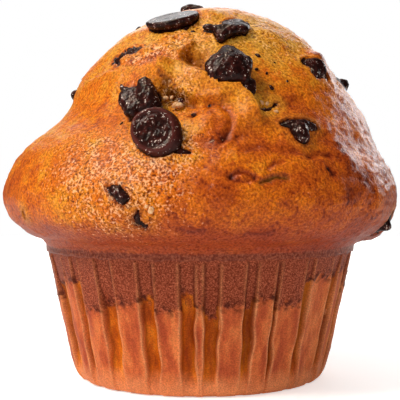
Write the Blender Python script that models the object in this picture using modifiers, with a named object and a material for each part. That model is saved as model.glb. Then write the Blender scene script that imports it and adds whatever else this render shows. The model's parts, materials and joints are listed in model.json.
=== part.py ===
"""Chocolate chip muffin in a pleated paper case.

The cake is one solid: a cup that fills the case, and a risen crown whose lip hangs over the rim.
The paper case is a pleated shell with a flat floor. Each chocolate chip is a solid of its own, and
the cake has a pocket for it.

Metres, +Z up, the front towards -Y, the origin under the middle of the flat floor. Sizes below are
in millimetres times MM. An azimuth is in degrees from the front, positive towards +X.
"""

import functools
import math
from typing import NamedTuple

import bmesh
import bpy
from mathutils import Vector

MM = 0.001

# Paper case
CASE_FOOT_RADIUS = 24.9 * MM
CASE_FLARE = 0.221
CASE_HEIGHT = 26.9 * MM
CASE_PAPER = 0.4 * MM
CASE_CORNER_HEIGHT = 1.8 * MM
CASE_FLOOR_RADIUS = 23.7 * MM
PLEAT_LINE_HEIGHT = 17.0 * MM
PLEAT_PRESSED_HEIGHT = 20.5 * MM
PLEAT_DEPTH_CORNER = 0.7 * MM
PLEAT_DEPTH_LOOSE = 1.3 * MM
PLEAT_DEPTH_PRESSED = 0.5 * MM
PLEAT_DEPTH_RIM = 0.3 * MM
FRONT_FACETS = (
    (-60.5, -53.8),
    (-48.7, -39.8),
    (-32.1, -22.5),
    (-16.1, -7.6),
    (-1.3, 1.0),
    (7.3, 15.9),
    (20.6, 27.4),
    (29.6, 40.3),
    (44.9, 56.1),
    (62.8, 67.5),
)
HIDDEN_START = 73.5
HIDDEN_END = 294.0
HIDDEN_FACETS = 17
HIDDEN_FACET_SHARE = 0.57
HIDDEN_UNEVENNESS = 0.2
PLEAT_WALL = 0.85

# Cake: the outline is the side of its crown as (radius, height), from the lip up to the top
SEAT_GAP = 0.3 * MM
CUP_FOOT_ROUND = 1.2 * MM
NECK_CLEARANCE = 0.45 * MM
CROWN_OUTLINE = (
    (32.2, 28.0),
    (35.3, 29.5),
    (38.1, 32.2),
    (39.2, 36.0),
    (38.5, 39.7),
    (36.4, 43.9),
    (32.9, 48.3),
    (29.1, 52.8),
    (26.6, 57.5),
    (21.9, 63.0),
    (17.4, 67.6),
    (10.3, 71.9),
    (0.0, 73.9),
)
OUTLINE_STEPS = 2
CROWN_LEAN = 2.5 * MM
LEAN_START = 44.0 * MM
LEAN_END = 52.0 * MM
CAKE_STEPS = 42
NORMAL_REACH = 0.4 * MM
SMOOTH_ANGLE = 40.0

# Chocolate chips: the outline is in shares of the chip's radius, from its tip down to its flat base
CHIP_OUTLINE = ((0.0, 1.0), (0.3, 0.84), (0.55, 0.52), (0.97, 0.26), (0.94, 0.0), (0.0, 0.0))
CHIP_STEPS = 9
CHIP_MIDDLE = 0.4
POCKET_GAP = 0.4 * MM


class Lump(NamedTuple):
    """A swelling of the batter, or a hollow where its rise is negative."""

    azimuth: float
    height: float
    reach: float
    rise: float


class Chip(NamedTuple):
    """A chocolate chip: where it lies on the crown, its flat base's radius, its tip's way, how proud it is."""

    azimuth: float
    height: float
    radius: float
    tip: tuple[float, float, float]
    proud: float
    tall: float = 1.0


LUMPS = (
    Lump(-26, 59.0, 5.0, 0.9),
    Lump(-8, 57.0, 5.0, 1.0),
    Lump(8, 53.5, 5.0, 0.9),
    Lump(-13, 53.0, 4.5, -1.0),
    Lump(-2, 50.0, 4.0, 0.9),
    Lump(49, 60.5, 5.5, 1.0),
    Lump(63, 64.0, 4.5, 0.5),
    Lump(-44, 62.0, 6.0, 0.5),
    Lump(-78, 61.0, 4.5, 1.0),
    Lump(-62, 66.0, 5.0, 0.8),
    Lump(88, 29.2, 5.0, 1.6),
    Lump(-90, 29.4, 6.0, -1.5),
    Lump(115, 60.0, 8.0, 1.0),
    Lump(150, 56.0, 6.0, -1.0),
    Lump(175, 61.0, 8.0, 1.1),
    Lump(-140, 57.0, 7.0, 0.9),
    Lump(-125, 64.0, 6.0, -0.8),
)

CHIPS = (
    Chip(-138, 73.0, 3.6, (0.05, 0.1, -1.0), 1.2),
    Chip(-30, 69.3, 5.1, (0.2, 0.28, -0.93), 0.1, 0.6),
    Chip(8, 66.6, 4.5, (-0.05, 0.4, -0.91), 0.9),
    Chip(6, 57.9, 4.9, (-0.15, -0.97, 0.12), 1.6, 0.9),
    Chip(-26, 54.0, 4.0, (0.45, -0.4, 0.8), 1.7, 1.25),
    Chip(-12.5, 46.7, 4.6, (0.15, 0.95, -0.25), 1.3, 0.8),
    Chip(-5.5, 44.2, 3.0, (0.0, -0.7, 0.7), -0.8),
    Chip(-42, 61.8, 3.8, (-0.3, -0.6, 0.7), -0.6),
    Chip(-84, 56.4, 3.2, (-0.9, 0.1, 0.3), -0.8),
    Chip(-21, 37.3, 2.9, (-0.3, -0.9, 0.1), -0.6),
    Chip(-15, 33.4, 2.6, (-0.2, -0.9, -0.3), -0.8),
    Chip(29, 48.0, 4.3, (0.3, -0.85, 0.4), -0.5, 0.9),
    Chip(48, 59.4, 3.4, (0.2, -0.9, -0.2), -0.5),
    Chip(80, 58.2, 3.1, (0.8, 0.1, 0.5), -0.5),
    Chip(16, 52.6, 3.3, (-0.3, -0.6, 0.6), -0.9),
    Chip(-55, 33.7, 2.4, (-0.6, -0.7, -0.3), -1.1),
    Chip(76, 30.8, 3.0, (0.6, -0.5, -0.6), -0.3),
    Chip(128, 66.0, 4.4, (0.5, 0.4, 0.6), 0.4),
    Chip(124, 53.0, 4.7, (-0.6, -0.6, -0.3), 0.3, 0.9),
    Chip(152, 62.0, 4.0, (0.3, 0.7, 0.5), 0.2),
    Chip(166, 46.0, 3.3, (0.2, 0.9, 0.3), -0.7),
    Chip(180, 69.5, 4.6, (0.0, -0.4, -0.9), 0.1, 0.8),
    Chip(193, 55.5, 4.8, (-0.2, 0.9, 0.2), 0.8, 0.9),
    Chip(206, 49.0, 4.0, (0.3, -0.8, -0.1), 0.3),
    Chip(216, 65.0, 3.9, (-0.5, 0.4, 0.7), 0.3),
    Chip(230, 42.0, 3.0, (-0.7, 0.6, 0.1), -0.9),
    Chip(238, 57.0, 4.1, (-0.5, 0.3, -0.7), -0.1),
    Chip(104, 41.0, 3.0, (0.9, 0.1, 0.2), -1.0),
)


def smooth_step(value, start, end):
    """0 up to start, 1 from end on, and a smooth rise between them."""
    part = min(max((value - start) / (end - start), 0.0), 1.0)
    return part * part * (3.0 - 2.0 * part)


def heading(azimuth):
    """The level direction that lies at an azimuth."""
    angle = math.radians(azimuth)
    return Vector((math.sin(angle), -math.cos(angle), 0.0))


def smooth_outline(points, steps):
    """Points of the curve that runs smoothly through the given ones, with steps to each stretch."""
    padded = [points[0], *points, (-points[-2][0], points[-2][1])]
    curve = []
    for before, start, end, after in zip(padded, padded[1:], padded[2:], padded[3:]):
        for step in range(steps):
            t = step / steps
            weights = (
                -t + 2 * t**2 - t**3,
                2 - 5 * t**2 + 3 * t**3,
                t + 4 * t**2 - 3 * t**3,
                -(t**2) + t**3,
            )
            places = (before, start, end, after)
            curve.append(
                tuple(sum(w * p[axis] for w, p in zip(weights, places)) / 2 for axis in (0, 1))
            )
    curve.append(points[-1])
    return curve


@functools.cache
def crown_outline():
    """The crown's side from its lip up to its top, as (radius, height)."""
    points = [(radius * MM, height * MM) for radius, height in CROWN_OUTLINE]
    return smooth_outline(points, OUTLINE_STEPS)


def crown_radius(height):
    """The crown's radius at a height, before it leans."""
    side = crown_outline()
    for (low_radius, low), (high_radius, high) in zip(side, side[1:]):
        if low <= height <= high:
            return low_radius + (high_radius - low_radius) * (height - low) / (high - low)
    raise ValueError("the crown has no such height")


def lean_at(height):
    """How far the risen top of the crown leans towards +X."""
    return CROWN_LEAN * smooth_step(height, LEAN_START, LEAN_END)


@functools.cache
def crown_place(azimuth, height):
    """The point of the crown at an azimuth and a height."""
    return heading(azimuth) * crown_radius(height) + Vector((lean_at(height), 0.0, height))


def crown_normal(azimuth, height):
    """The way the crown faces at an azimuth and a height."""
    around = crown_place(azimuth + 1, height) - crown_place(azimuth - 1, height)
    upward = crown_place(azimuth, height + NORMAL_REACH) - crown_place(azimuth, height - NORMAL_REACH)
    return around.cross(upward).normalized()


def case_radius(height):
    """The radius of the case's pleat ridges at a height."""
    return CASE_FOOT_RADIUS + CASE_FLARE * height


def pleat_depth(height):
    """How far the grooves lie behind the ridges: deep where the paper is loose, shallow where it is pressed."""
    if height <= PLEAT_LINE_HEIGHT:
        rise = smooth_step(height, CASE_CORNER_HEIGHT, PLEAT_LINE_HEIGHT)
        return PLEAT_DEPTH_CORNER + (PLEAT_DEPTH_LOOSE - PLEAT_DEPTH_CORNER) * rise
    pressed = smooth_step(height, PLEAT_LINE_HEIGHT, PLEAT_PRESSED_HEIGHT)
    depth = PLEAT_DEPTH_LOOSE + (PLEAT_DEPTH_PRESSED - PLEAT_DEPTH_LOOSE) * pressed
    flat = smooth_step(height, PLEAT_PRESSED_HEIGHT, CASE_HEIGHT)
    return depth + (PLEAT_DEPTH_RIM - PLEAT_DEPTH_PRESSED) * flat


def pleat_facets():
    """Where each outer facet of the pleats starts and ends, in degrees, the front ones first."""
    numbers = range(HIDDEN_FACETS)
    widths = [1 + HIDDEN_UNEVENNESS * math.sin(2.4 * number) for number in numbers]
    scale = (HIDDEN_END - HIDDEN_START) / sum(widths)
    hidden = []
    start = HIDDEN_START
    for width in widths:
        hidden.append((start, start + HIDDEN_FACET_SHARE * width * scale))
        start += width * scale
    return [*FRONT_FACETS, *hidden]


def pleat_corners():
    """Each corner of the pleated outline as (azimuth, share of the groove depth)."""
    facets = pleat_facets()
    next_starts = [start for start, _ in facets[1:]] + [facets[0][0] + 360.0]
    corners = []
    for (start, end), next_start in zip(facets, next_starts):
        corners += [
            (start, 0.0),
            (end, 0.0),
            (end + PLEAT_WALL, 1.0),
            (next_start - PLEAT_WALL, 1.0),
        ]
    return corners


def clear_scene():
    """Removes whatever the file opens with."""
    for obj in list(bpy.data.objects):
        bpy.data.objects.remove(obj, do_unlink=True)


def new_collection(name, is_helper=False):
    """A collection in the scene, left out of renders if it holds helpers."""
    collection = bpy.data.collections.new(name)
    collection.hide_render = is_helper
    bpy.context.scene.collection.children.link(collection)
    return collection


def principled(name, color, roughness):
    """A non-metallic Principled material."""
    material = bpy.data.materials.new(name)
    material.use_nodes = True
    shader = material.node_tree.nodes["Principled BSDF"]
    shader.inputs["Base Color"].default_value = (*color, 1.0)
    shader.inputs["Roughness"].default_value = roughness
    shader.inputs["Metallic"].default_value = 0.0
    return material


def add_object(name, mesh, collection, material=None):
    """An object for the mesh, in its material."""
    obj = bpy.data.objects.new(name, mesh)
    collection.objects.link(obj)
    if material:
        mesh.materials.append(material)
    return obj


def turned(name, outline, steps, collection, material=None):
    """A solid turned about +Z from (radius, height) points that run from its top down to its bottom."""
    mesh = bpy.data.meshes.new(name)
    points = [(radius, 0.0, height) for radius, height in outline]
    edges = [(number, number + 1) for number in range(len(points) - 1)]
    mesh.from_pydata(points, edges, [])
    obj = add_object(name, mesh, collection, material)
    screw = obj.modifiers.new("Turn", "SCREW")
    screw.angle = math.tau
    screw.steps = steps
    screw.render_steps = steps
    screw.use_merge_vertices = True
    screw.merge_threshold = 0.00002
    screw.use_smooth_shade = True
    return obj


def add_case_ring(bm, height):
    """The closed ring of edges that the pleated wall makes at a height."""
    verts = []
    for azimuth, share in pleat_corners():
        radius = case_radius(height) - share * pleat_depth(height) if height else CASE_FLOOR_RADIUS
        verts.append(bm.verts.new(heading(azimuth) * radius + Vector((0.0, 0.0, height))))
    return [bm.edges.new(pair) for pair in zip(verts, verts[1:] + verts[:1])]


def make_case(collection, material):
    """The paper case: a pleated wall on a flat floor, with an open top."""
    bm = bmesh.new()
    ring = add_case_ring(bm, 0.0)
    bmesh.ops.contextual_create(bm, geom=ring)
    for height in (CASE_CORNER_HEIGHT, PLEAT_LINE_HEIGHT, PLEAT_PRESSED_HEIGHT, CASE_HEIGHT):
        next_ring = add_case_ring(bm, height)
        bmesh.ops.bridge_loops(bm, edges=ring + next_ring)
        ring = next_ring
    bmesh.ops.recalc_face_normals(bm, faces=bm.faces[:])
    mesh = bpy.data.meshes.new("paper_case")
    bm.to_mesh(mesh)
    bm.free()
    obj = add_object("paper_case", mesh, collection, material)
    wall = obj.modifiers.new("Paper", "SOLIDIFY")
    wall.thickness = CASE_PAPER
    wall.offset = -1.0
    wall.use_even_offset = True
    return obj


def cup_outline():
    """The part of the cake inside the case, from its neck down to the middle of its base."""
    base = CASE_PAPER + SEAT_GAP
    heights = (CASE_HEIGHT, PLEAT_PRESSED_HEIGHT, PLEAT_LINE_HEIGHT, CASE_CORNER_HEIGHT)
    wall = [
        (case_radius(height) - pleat_depth(height) - CASE_PAPER - 2 * SEAT_GAP, height) for height in heights
    ]
    foot = wall[-1][0] - CUP_FOOT_ROUND
    return [*wall, (foot, base), (0.0, base)]


def cake_outline():
    """The whole cake's side from its top down: the crown, the neck over the case's rim, and the cup."""
    neck = (case_radius(CASE_HEIGHT) - CASE_PAPER, CASE_HEIGHT + NECK_CLEARANCE)
    return [*reversed(crown_outline()), neck, *cup_outline()]


def swell(place):
    """How far the lumps push the crust out at a point."""
    total = 0.0
    for lump in LUMPS:
        middle = crown_place(lump.azimuth, lump.height * MM)
        distance = (place - middle).length / (lump.reach * MM)
        total += lump.rise * MM * math.exp(-(distance**2))
    return total


def make_cake(collection, material):
    """The cake: turned, then leant and swollen as it rose."""
    plain = turned("plain_cake", cake_outline(), CAKE_STEPS, collection)
    bpy.context.view_layer.update()
    evaluated = plain.evaluated_get(bpy.context.evaluated_depsgraph_get())
    mesh = bpy.data.meshes.new_from_object(evaluated)
    bpy.data.objects.remove(plain, do_unlink=True)
    mesh.name = "cake"
    ways = [vert.normal.copy() for vert in mesh.vertices]
    for vert, way in zip(mesh.vertices, ways):
        if vert.co.z > CASE_HEIGHT + NECK_CLEARANCE:
            vert.co.x += lean_at(vert.co.z)
            vert.co += way * swell(vert.co)
    mesh.shade_smooth()
    mesh.set_sharp_from_angle(angle=math.radians(SMOOTH_ANGLE))
    return add_object("cake", mesh, collection, material)


def chip_outline(chip):
    """A chip's side from its tip down to its flat base, about its own middle."""
    tall = chip.radius * chip.tall * MM
    return [(radius * chip.radius * MM, (height - CHIP_MIDDLE) * tall) for radius, height in CHIP_OUTLINE]


def place_chip(obj, chip):
    """Sets a chip into the crown, with its tip the stated way."""
    height = chip.height * MM
    outward = crown_normal(chip.azimuth, height)
    obj.location = crown_place(chip.azimuth, height) + outward * chip.proud * MM
    obj.rotation_euler = Vector(chip.tip).to_track_quat("Z", "Y").to_euler()


def make_chips(parts, cutters, material):
    """Every chip, and the helper that cuts its pocket into the cake."""
    for number, chip in enumerate(CHIPS, start=1):
        name = f"chip_{number:02d}"
        obj = turned(name, chip_outline(chip), CHIP_STEPS, parts, material)
        place_chip(obj, chip)
        pocket = turned(f"pocket_{number:02d}", chip_outline(chip), CHIP_STEPS, cutters)
        place_chip(pocket, chip)
        grow = pocket.modifiers.new("Gap", "DISPLACE")
        grow.strength = POCKET_GAP
        grow.mid_level = 0.0
        pocket.hide_render = True
        pocket.display_type = "WIRE"


def cut_pockets(cake, cutters):
    """Takes every chip's pocket out of the cake."""
    cut = cake.modifiers.new("Pockets", "BOOLEAN")
    cut.operation = "DIFFERENCE"
    cut.operand_type = "COLLECTION"
    cut.collection = cutters
    cut.solver = "EXACT"


def main():
    """Builds the muffin."""
    clear_scene()
    parts = new_collection("muffin")
    cutters = new_collection("cutters", is_helper=True)
    crust = principled("baked_crust", (0.58, 0.2, 0.035), 0.35)
    paper = principled("baking_paper", (0.47, 0.15, 0.055), 0.6)
    chocolate = principled("dark_chocolate", (0.025, 0.009, 0.006), 0.3)
    make_case(parts, paper)
    cake = make_cake(parts, crust)
    make_chips(parts, cutters, chocolate)
    cut_pockets(cake, cutters)


main()
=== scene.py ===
"""Looks of a chocolate chip muffin in its pleated paper case.

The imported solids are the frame. Every piece here takes its place and size from them: the cake is
a fine surface over the same crown, the case is thin pleated paper, and each chip is modelled on
the axis, radius and height of its own solid. Metres, +Z up, the front towards -Y. An azimuth is in
degrees from the front, positive towards +X. Sizes are in millimetres times MM.
"""

import json
import logging
import math
from dataclasses import dataclass, field
from enum import Enum

import bmesh
import bpy
import numpy as np
from mathutils import Matrix, Vector, noise
from mathutils.bvhtree import BVHTree

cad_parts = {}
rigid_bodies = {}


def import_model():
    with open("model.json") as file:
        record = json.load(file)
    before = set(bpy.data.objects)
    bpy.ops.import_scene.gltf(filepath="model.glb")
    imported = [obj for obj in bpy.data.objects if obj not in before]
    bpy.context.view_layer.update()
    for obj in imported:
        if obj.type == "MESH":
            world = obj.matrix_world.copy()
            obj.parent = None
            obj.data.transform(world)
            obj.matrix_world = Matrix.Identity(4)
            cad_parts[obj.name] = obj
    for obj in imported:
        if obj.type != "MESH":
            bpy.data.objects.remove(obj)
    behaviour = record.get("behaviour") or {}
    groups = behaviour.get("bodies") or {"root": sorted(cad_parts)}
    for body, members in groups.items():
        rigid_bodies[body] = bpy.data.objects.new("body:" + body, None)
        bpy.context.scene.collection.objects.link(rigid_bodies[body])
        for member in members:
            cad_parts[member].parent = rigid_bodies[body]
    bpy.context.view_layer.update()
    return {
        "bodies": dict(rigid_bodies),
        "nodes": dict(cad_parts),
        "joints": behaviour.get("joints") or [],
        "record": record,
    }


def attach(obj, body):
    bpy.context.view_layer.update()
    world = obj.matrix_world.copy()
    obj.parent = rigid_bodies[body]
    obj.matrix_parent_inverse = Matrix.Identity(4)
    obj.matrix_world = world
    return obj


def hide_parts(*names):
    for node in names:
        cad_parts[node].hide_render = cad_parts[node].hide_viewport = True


MM = 0.001
BODY = "root"
MIX_FACTOR, MIX_A, MIX_B, MIX_RESULT = 0, 6, 7, 2

log = logging.getLogger("muffin")


# ---------------------------------------------------------------------------------------------
# Small tools
# ---------------------------------------------------------------------------------------------


def linear(code: str) -> tuple[float, float, float, float]:
    """Turns an sRGB hex colour into a linear one.

    Args:
        code: The colour, as "#rrggbb".

    Returns:
        Linear red, green, blue, and an alpha of 1.
    """
    shares = [int(code[place : place + 2], 16) / 255 for place in (1, 3, 5)]
    lit = [share / 12.92 if share <= 0.04045 else ((share + 0.055) / 1.055) ** 2.4 for share in shares]
    return (*lit, 1.0)


def ease(value: np.ndarray, start: float, end: float) -> np.ndarray:
    """0 up to start, 1 from end on, and a smooth rise between them."""
    part = np.clip((value - start) / (end - start), 0.0, 1.0)
    return part * part * (3.0 - 2.0 * part)


def bell(value: np.ndarray, width: float) -> np.ndarray:
    """1 at nought, falling away on both sides over a width."""
    return np.exp(-((value / width) ** 2))


def roughen(
    points: np.ndarray, size: float, octaves: int = 2, stretch: tuple[float, float, float] = (1, 1, 1), shift: float = 0.0
) -> np.ndarray:
    """Smooth noise at each point.

    Args:
        points: Places, one to a row, in metres.
        size: How far apart the lumps of the noise are, in metres.
        octaves: How many finer layers it has.
        stretch: How much longer the lumps are along each axis.
        shift: Moves to another part of the noise, so that two fields differ.

    Returns:
        One value a point, from about -1 to 1.
    """
    scaled = points / (size * np.array(stretch, float)) + shift
    return np.array([noise.fractal(place, 1.0, 2.0, octaves) for place in scaled.tolist()])


def smooth_curve(points: list[tuple[float, ...]], steps: int) -> np.ndarray:
    """Points of the curve that runs smoothly through the given ones.

    Args:
        points: The places to pass through.
        steps: How many points each stretch gets.

    Returns:
        The curve's points, one to a row.
    """
    marks = np.array(points, float)
    padded = np.vstack([2 * marks[0] - marks[1], marks, 2 * marks[-1] - marks[-2]])
    curve = []
    for before, start, end, after in zip(padded, padded[1:], padded[2:], padded[3:]):
        for step in range(steps):
            t = step / steps
            curve.append(
                0.5
                * (
                    2 * start
                    + (end - before) * t
                    + (2 * before - 5 * start + 4 * end - after) * t**2
                    + (3 * start - before - 3 * end + after) * t**3
                )
            )
    curve.append(marks[-1])
    return np.array(curve)


def places_of(mesh: bpy.types.Mesh) -> np.ndarray:
    """The mesh's points, one to a row."""
    flat = np.empty(len(mesh.vertices) * 3, np.float32)
    mesh.vertices.foreach_get("co", flat)
    return flat.reshape(-1, 3).astype(float)


def normals_of(mesh: bpy.types.Mesh) -> np.ndarray:
    """The way the mesh faces at each of its points."""
    flat = np.empty(len(mesh.vertices) * 3, np.float32)
    mesh.vertices.foreach_get("normal", flat)
    return flat.reshape(-1, 3).astype(float)


def move_points(mesh: bpy.types.Mesh, places: np.ndarray) -> None:
    """Puts the mesh's points at the given places."""
    mesh.vertices.foreach_set("co", places.astype(np.float32).ravel())
    mesh.update()


def paint(mesh: bpy.types.Mesh, name: str, values: np.ndarray) -> None:
    """Stores one value a point on the mesh, for its material to read."""
    layer = mesh.attributes.new(name, "FLOAT", "POINT")
    layer.data.foreach_set("value", np.clip(values, 0.0, 1.0).astype(np.float32))


def add_piece(name: str, mesh: bpy.types.Mesh, material: bpy.types.Material) -> bpy.types.Object:
    """Makes an object of a finished mesh, shaded smooth and in its material."""
    mesh.name = name
    mesh.shade_smooth()
    mesh.materials.clear()
    mesh.materials.append(material)
    piece = bpy.data.objects.new(name, mesh)
    bpy.context.scene.collection.objects.link(piece)
    return piece


def mesh_from(bm: bmesh.types.BMesh, name: str) -> bpy.types.Mesh:
    """Turns a bmesh into a mesh with outward faces, and frees it."""
    bmesh.ops.recalc_face_normals(bm, faces=bm.faces[:])
    mesh = bpy.data.meshes.new(name)
    bm.to_mesh(mesh)
    bm.free()
    return mesh


def add_node(
    tree: bpy.types.NodeTree,
    kind: str,
    inputs: dict | None = None,
    stops: tuple[tuple[float, str], ...] = (),
    **settings,
) -> bpy.types.Node:
    """Adds a node with its settings and links.

    Args:
        tree: The node tree that takes it.
        kind: The node's type name.
        inputs: What each input, by its name or number, holds: a value, or an output that feeds it.
        stops: A colour ramp's stops, as (place, sRGB hex colour).
        settings: The node's own properties.

    Returns:
        The new node.
    """
    node = tree.nodes.new(kind)
    for name, value in settings.items():
        setattr(node, name, value)
    for key, value in (inputs or {}).items():
        if isinstance(value, bpy.types.NodeSocket):
            tree.links.new(value, node.inputs[key])
        else:
            node.inputs[key].default_value = value
    for number, (place, code) in enumerate(stops):
        if number >= len(node.color_ramp.elements):
            node.color_ramp.elements.new(place)
        stop = node.color_ramp.elements[number]
        stop.position = place
        stop.color = linear(code)
    return node


def new_material(name: str) -> tuple[bpy.types.Material, bpy.types.NodeTree, bpy.types.Node]:
    """A material with an empty Principled shader: itself, its node tree and that shader."""
    material = bpy.data.materials.new(name)
    material.use_nodes = True
    return material, material.node_tree, material.node_tree.nodes["Principled BSDF"]


# ---------------------------------------------------------------------------------------------
# The crown's form
# ---------------------------------------------------------------------------------------------


@dataclass(frozen=True)
class CrownForm:
    """The side of the cake as it is turned, and the way that its risen top leans.

    It is the same crown as the cake's solid, drawn through the same outline.
    """

    outline: tuple[tuple[float, float], ...] = (
        (0.0, 73.9),
        (10.3, 71.9),
        (17.4, 67.6),
        (21.9, 63.0),
        (26.6, 57.5),
        (29.1, 52.8),
        (32.9, 48.3),
        (36.4, 43.9),
        (38.5, 39.7),
        (39.2, 36.0),
        (38.1, 32.2),
        (35.3, 29.5),
        (32.2, 28.0),
    )
    hem: tuple[tuple[float, float], ...] = ((31.25, 27.05), (30.98, 26.7), (30.88, 25.5))
    cup: tuple[tuple[float, float], ...] = (
        (29.5, 25.2),
        (28.2, 23.0),
        (26.9, 19.0),
        (25.9, 13.0),
        (24.6, 7.0),
        (23.6, 2.6),
        (21.9, 0.9),
    )
    lean: float = 2.5 * MM
    lean_start: float = 44.0 * MM
    lean_end: float = 52.0 * MM
    steps: int = 14

    def crown_side(self) -> np.ndarray:
        """The crown's side from its top down to its hem, as rows of radius and height in metres."""
        mirrored = [(-self.outline[1][0], self.outline[1][1]), *self.outline]
        curve = smooth_curve(mirrored, self.steps)[self.steps :]
        return np.vstack([curve, self.hem]) * MM

    def crown_lengths(self) -> np.ndarray:
        """How far along the side each of its points lies from the top."""
        side = self.crown_side()
        return np.concatenate([[0.0], np.cumsum(np.linalg.norm(np.diff(side, axis=0), axis=1))])

    def whole_side(self) -> tuple[np.ndarray, np.ndarray]:
        """The side from the top down through the cup, and how far along it each point lies."""
        side = np.vstack([self.crown_side(), np.array(self.cup) * MM])
        return side, np.concatenate([[0.0], np.cumsum(np.linalg.norm(np.diff(side, axis=0), axis=1))])

    def leant(self, height: np.ndarray) -> np.ndarray:
        """How far the crown leans towards +X at a height."""
        return self.lean * ease(height, self.lean_start, self.lean_end)

    def places(self, directions: np.ndarray, lengths: np.ndarray) -> tuple[np.ndarray, np.ndarray]:
        """Points of the turned surface and the way it faces there.

        Args:
            directions: Level unit directions from the axis, one to a row.
            lengths: How far down the side each point lies.

        Returns:
            The places and the outward directions, one to a row.
        """
        side, marks = self.whole_side()
        step = 0.2 * MM
        radius, height = (np.interp(lengths, marks, side[:, axis]) for axis in (0, 1))
        ahead, behind = np.minimum(lengths + step, marks[-1]), np.maximum(lengths - step, 0.0)
        run = np.interp(ahead, marks, side[:, 0]) - np.interp(behind, marks, side[:, 0])
        rise = np.interp(ahead, marks, side[:, 1]) - np.interp(behind, marks, side[:, 1])
        size = np.hypot(run, rise) + 1e-12
        place = np.column_stack([directions * radius[:, None], height])
        place[:, 0] += self.leant(height)
        outward = np.column_stack([directions * (-rise / size)[:, None], run / size])
        return place, outward

    def front(self, right: float, height: float) -> float:
        """The y of the crown's front where it passes a given x and height, in metres."""
        side = self.crown_side()
        radius = float(np.interp(-height, -side[:, 1], side[:, 0]))
        across = right - float(self.leant(np.array([height]))[0])
        return -math.sqrt(max(radius**2 - across**2, 0.0))

    def at(self, spots: list[tuple[float, float]]) -> tuple[np.ndarray, np.ndarray]:
        """The places on the crown, and the way it faces, at spots given as (azimuth, height in mm)."""
        side = self.crown_side()
        angles = np.radians([spot[0] for spot in spots])
        heights = np.array([spot[1] for spot in spots]) * MM
        lengths = np.interp(-heights, -side[:, 1], self.crown_lengths())
        return self.places(np.column_stack([np.sin(angles), -np.cos(angles)]), lengths)


# ---------------------------------------------------------------------------------------------
# What the batter did as it rose
# ---------------------------------------------------------------------------------------------


class Edge(Enum):
    """How the surface runs across a fold."""

    SOFT = "the same on both sides"
    LAP_RIGHT = "raised to the right of the route, and sharp on its left"
    LAP_LEFT = "raised to the left of the route, and sharp on its right"


@dataclass(frozen=True)
class Lump:
    """A swelling of the batter, or a hollow where its rise is negative. Millimetres."""

    azimuth: float
    height: float
    reach: float
    rise: float
    brown: float = 0.0
    pale: float = 0.0
    # How much painted shade darkens it
    painted_shade: float = 0.0
    # Where painted highlights gather: light glint specks, with dark pits among them
    painted_glint_zone: float = 0.0


@dataclass(frozen=True)
class Fold:
    """A long ridge, crack or lap that follows a route of (azimuth, height) spots. Millimetres."""

    route: tuple[tuple[float, float], ...]
    width: float
    rise: float
    edge: Edge = Edge.SOFT
    brown: float = 0.0
    pale: float = 0.0
    # How much painted shade darkens it
    painted_shade: float = 0.0
    # How dark the chocolate stain and painted contact shadow are
    stain_and_shade: float = 0.0


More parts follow.
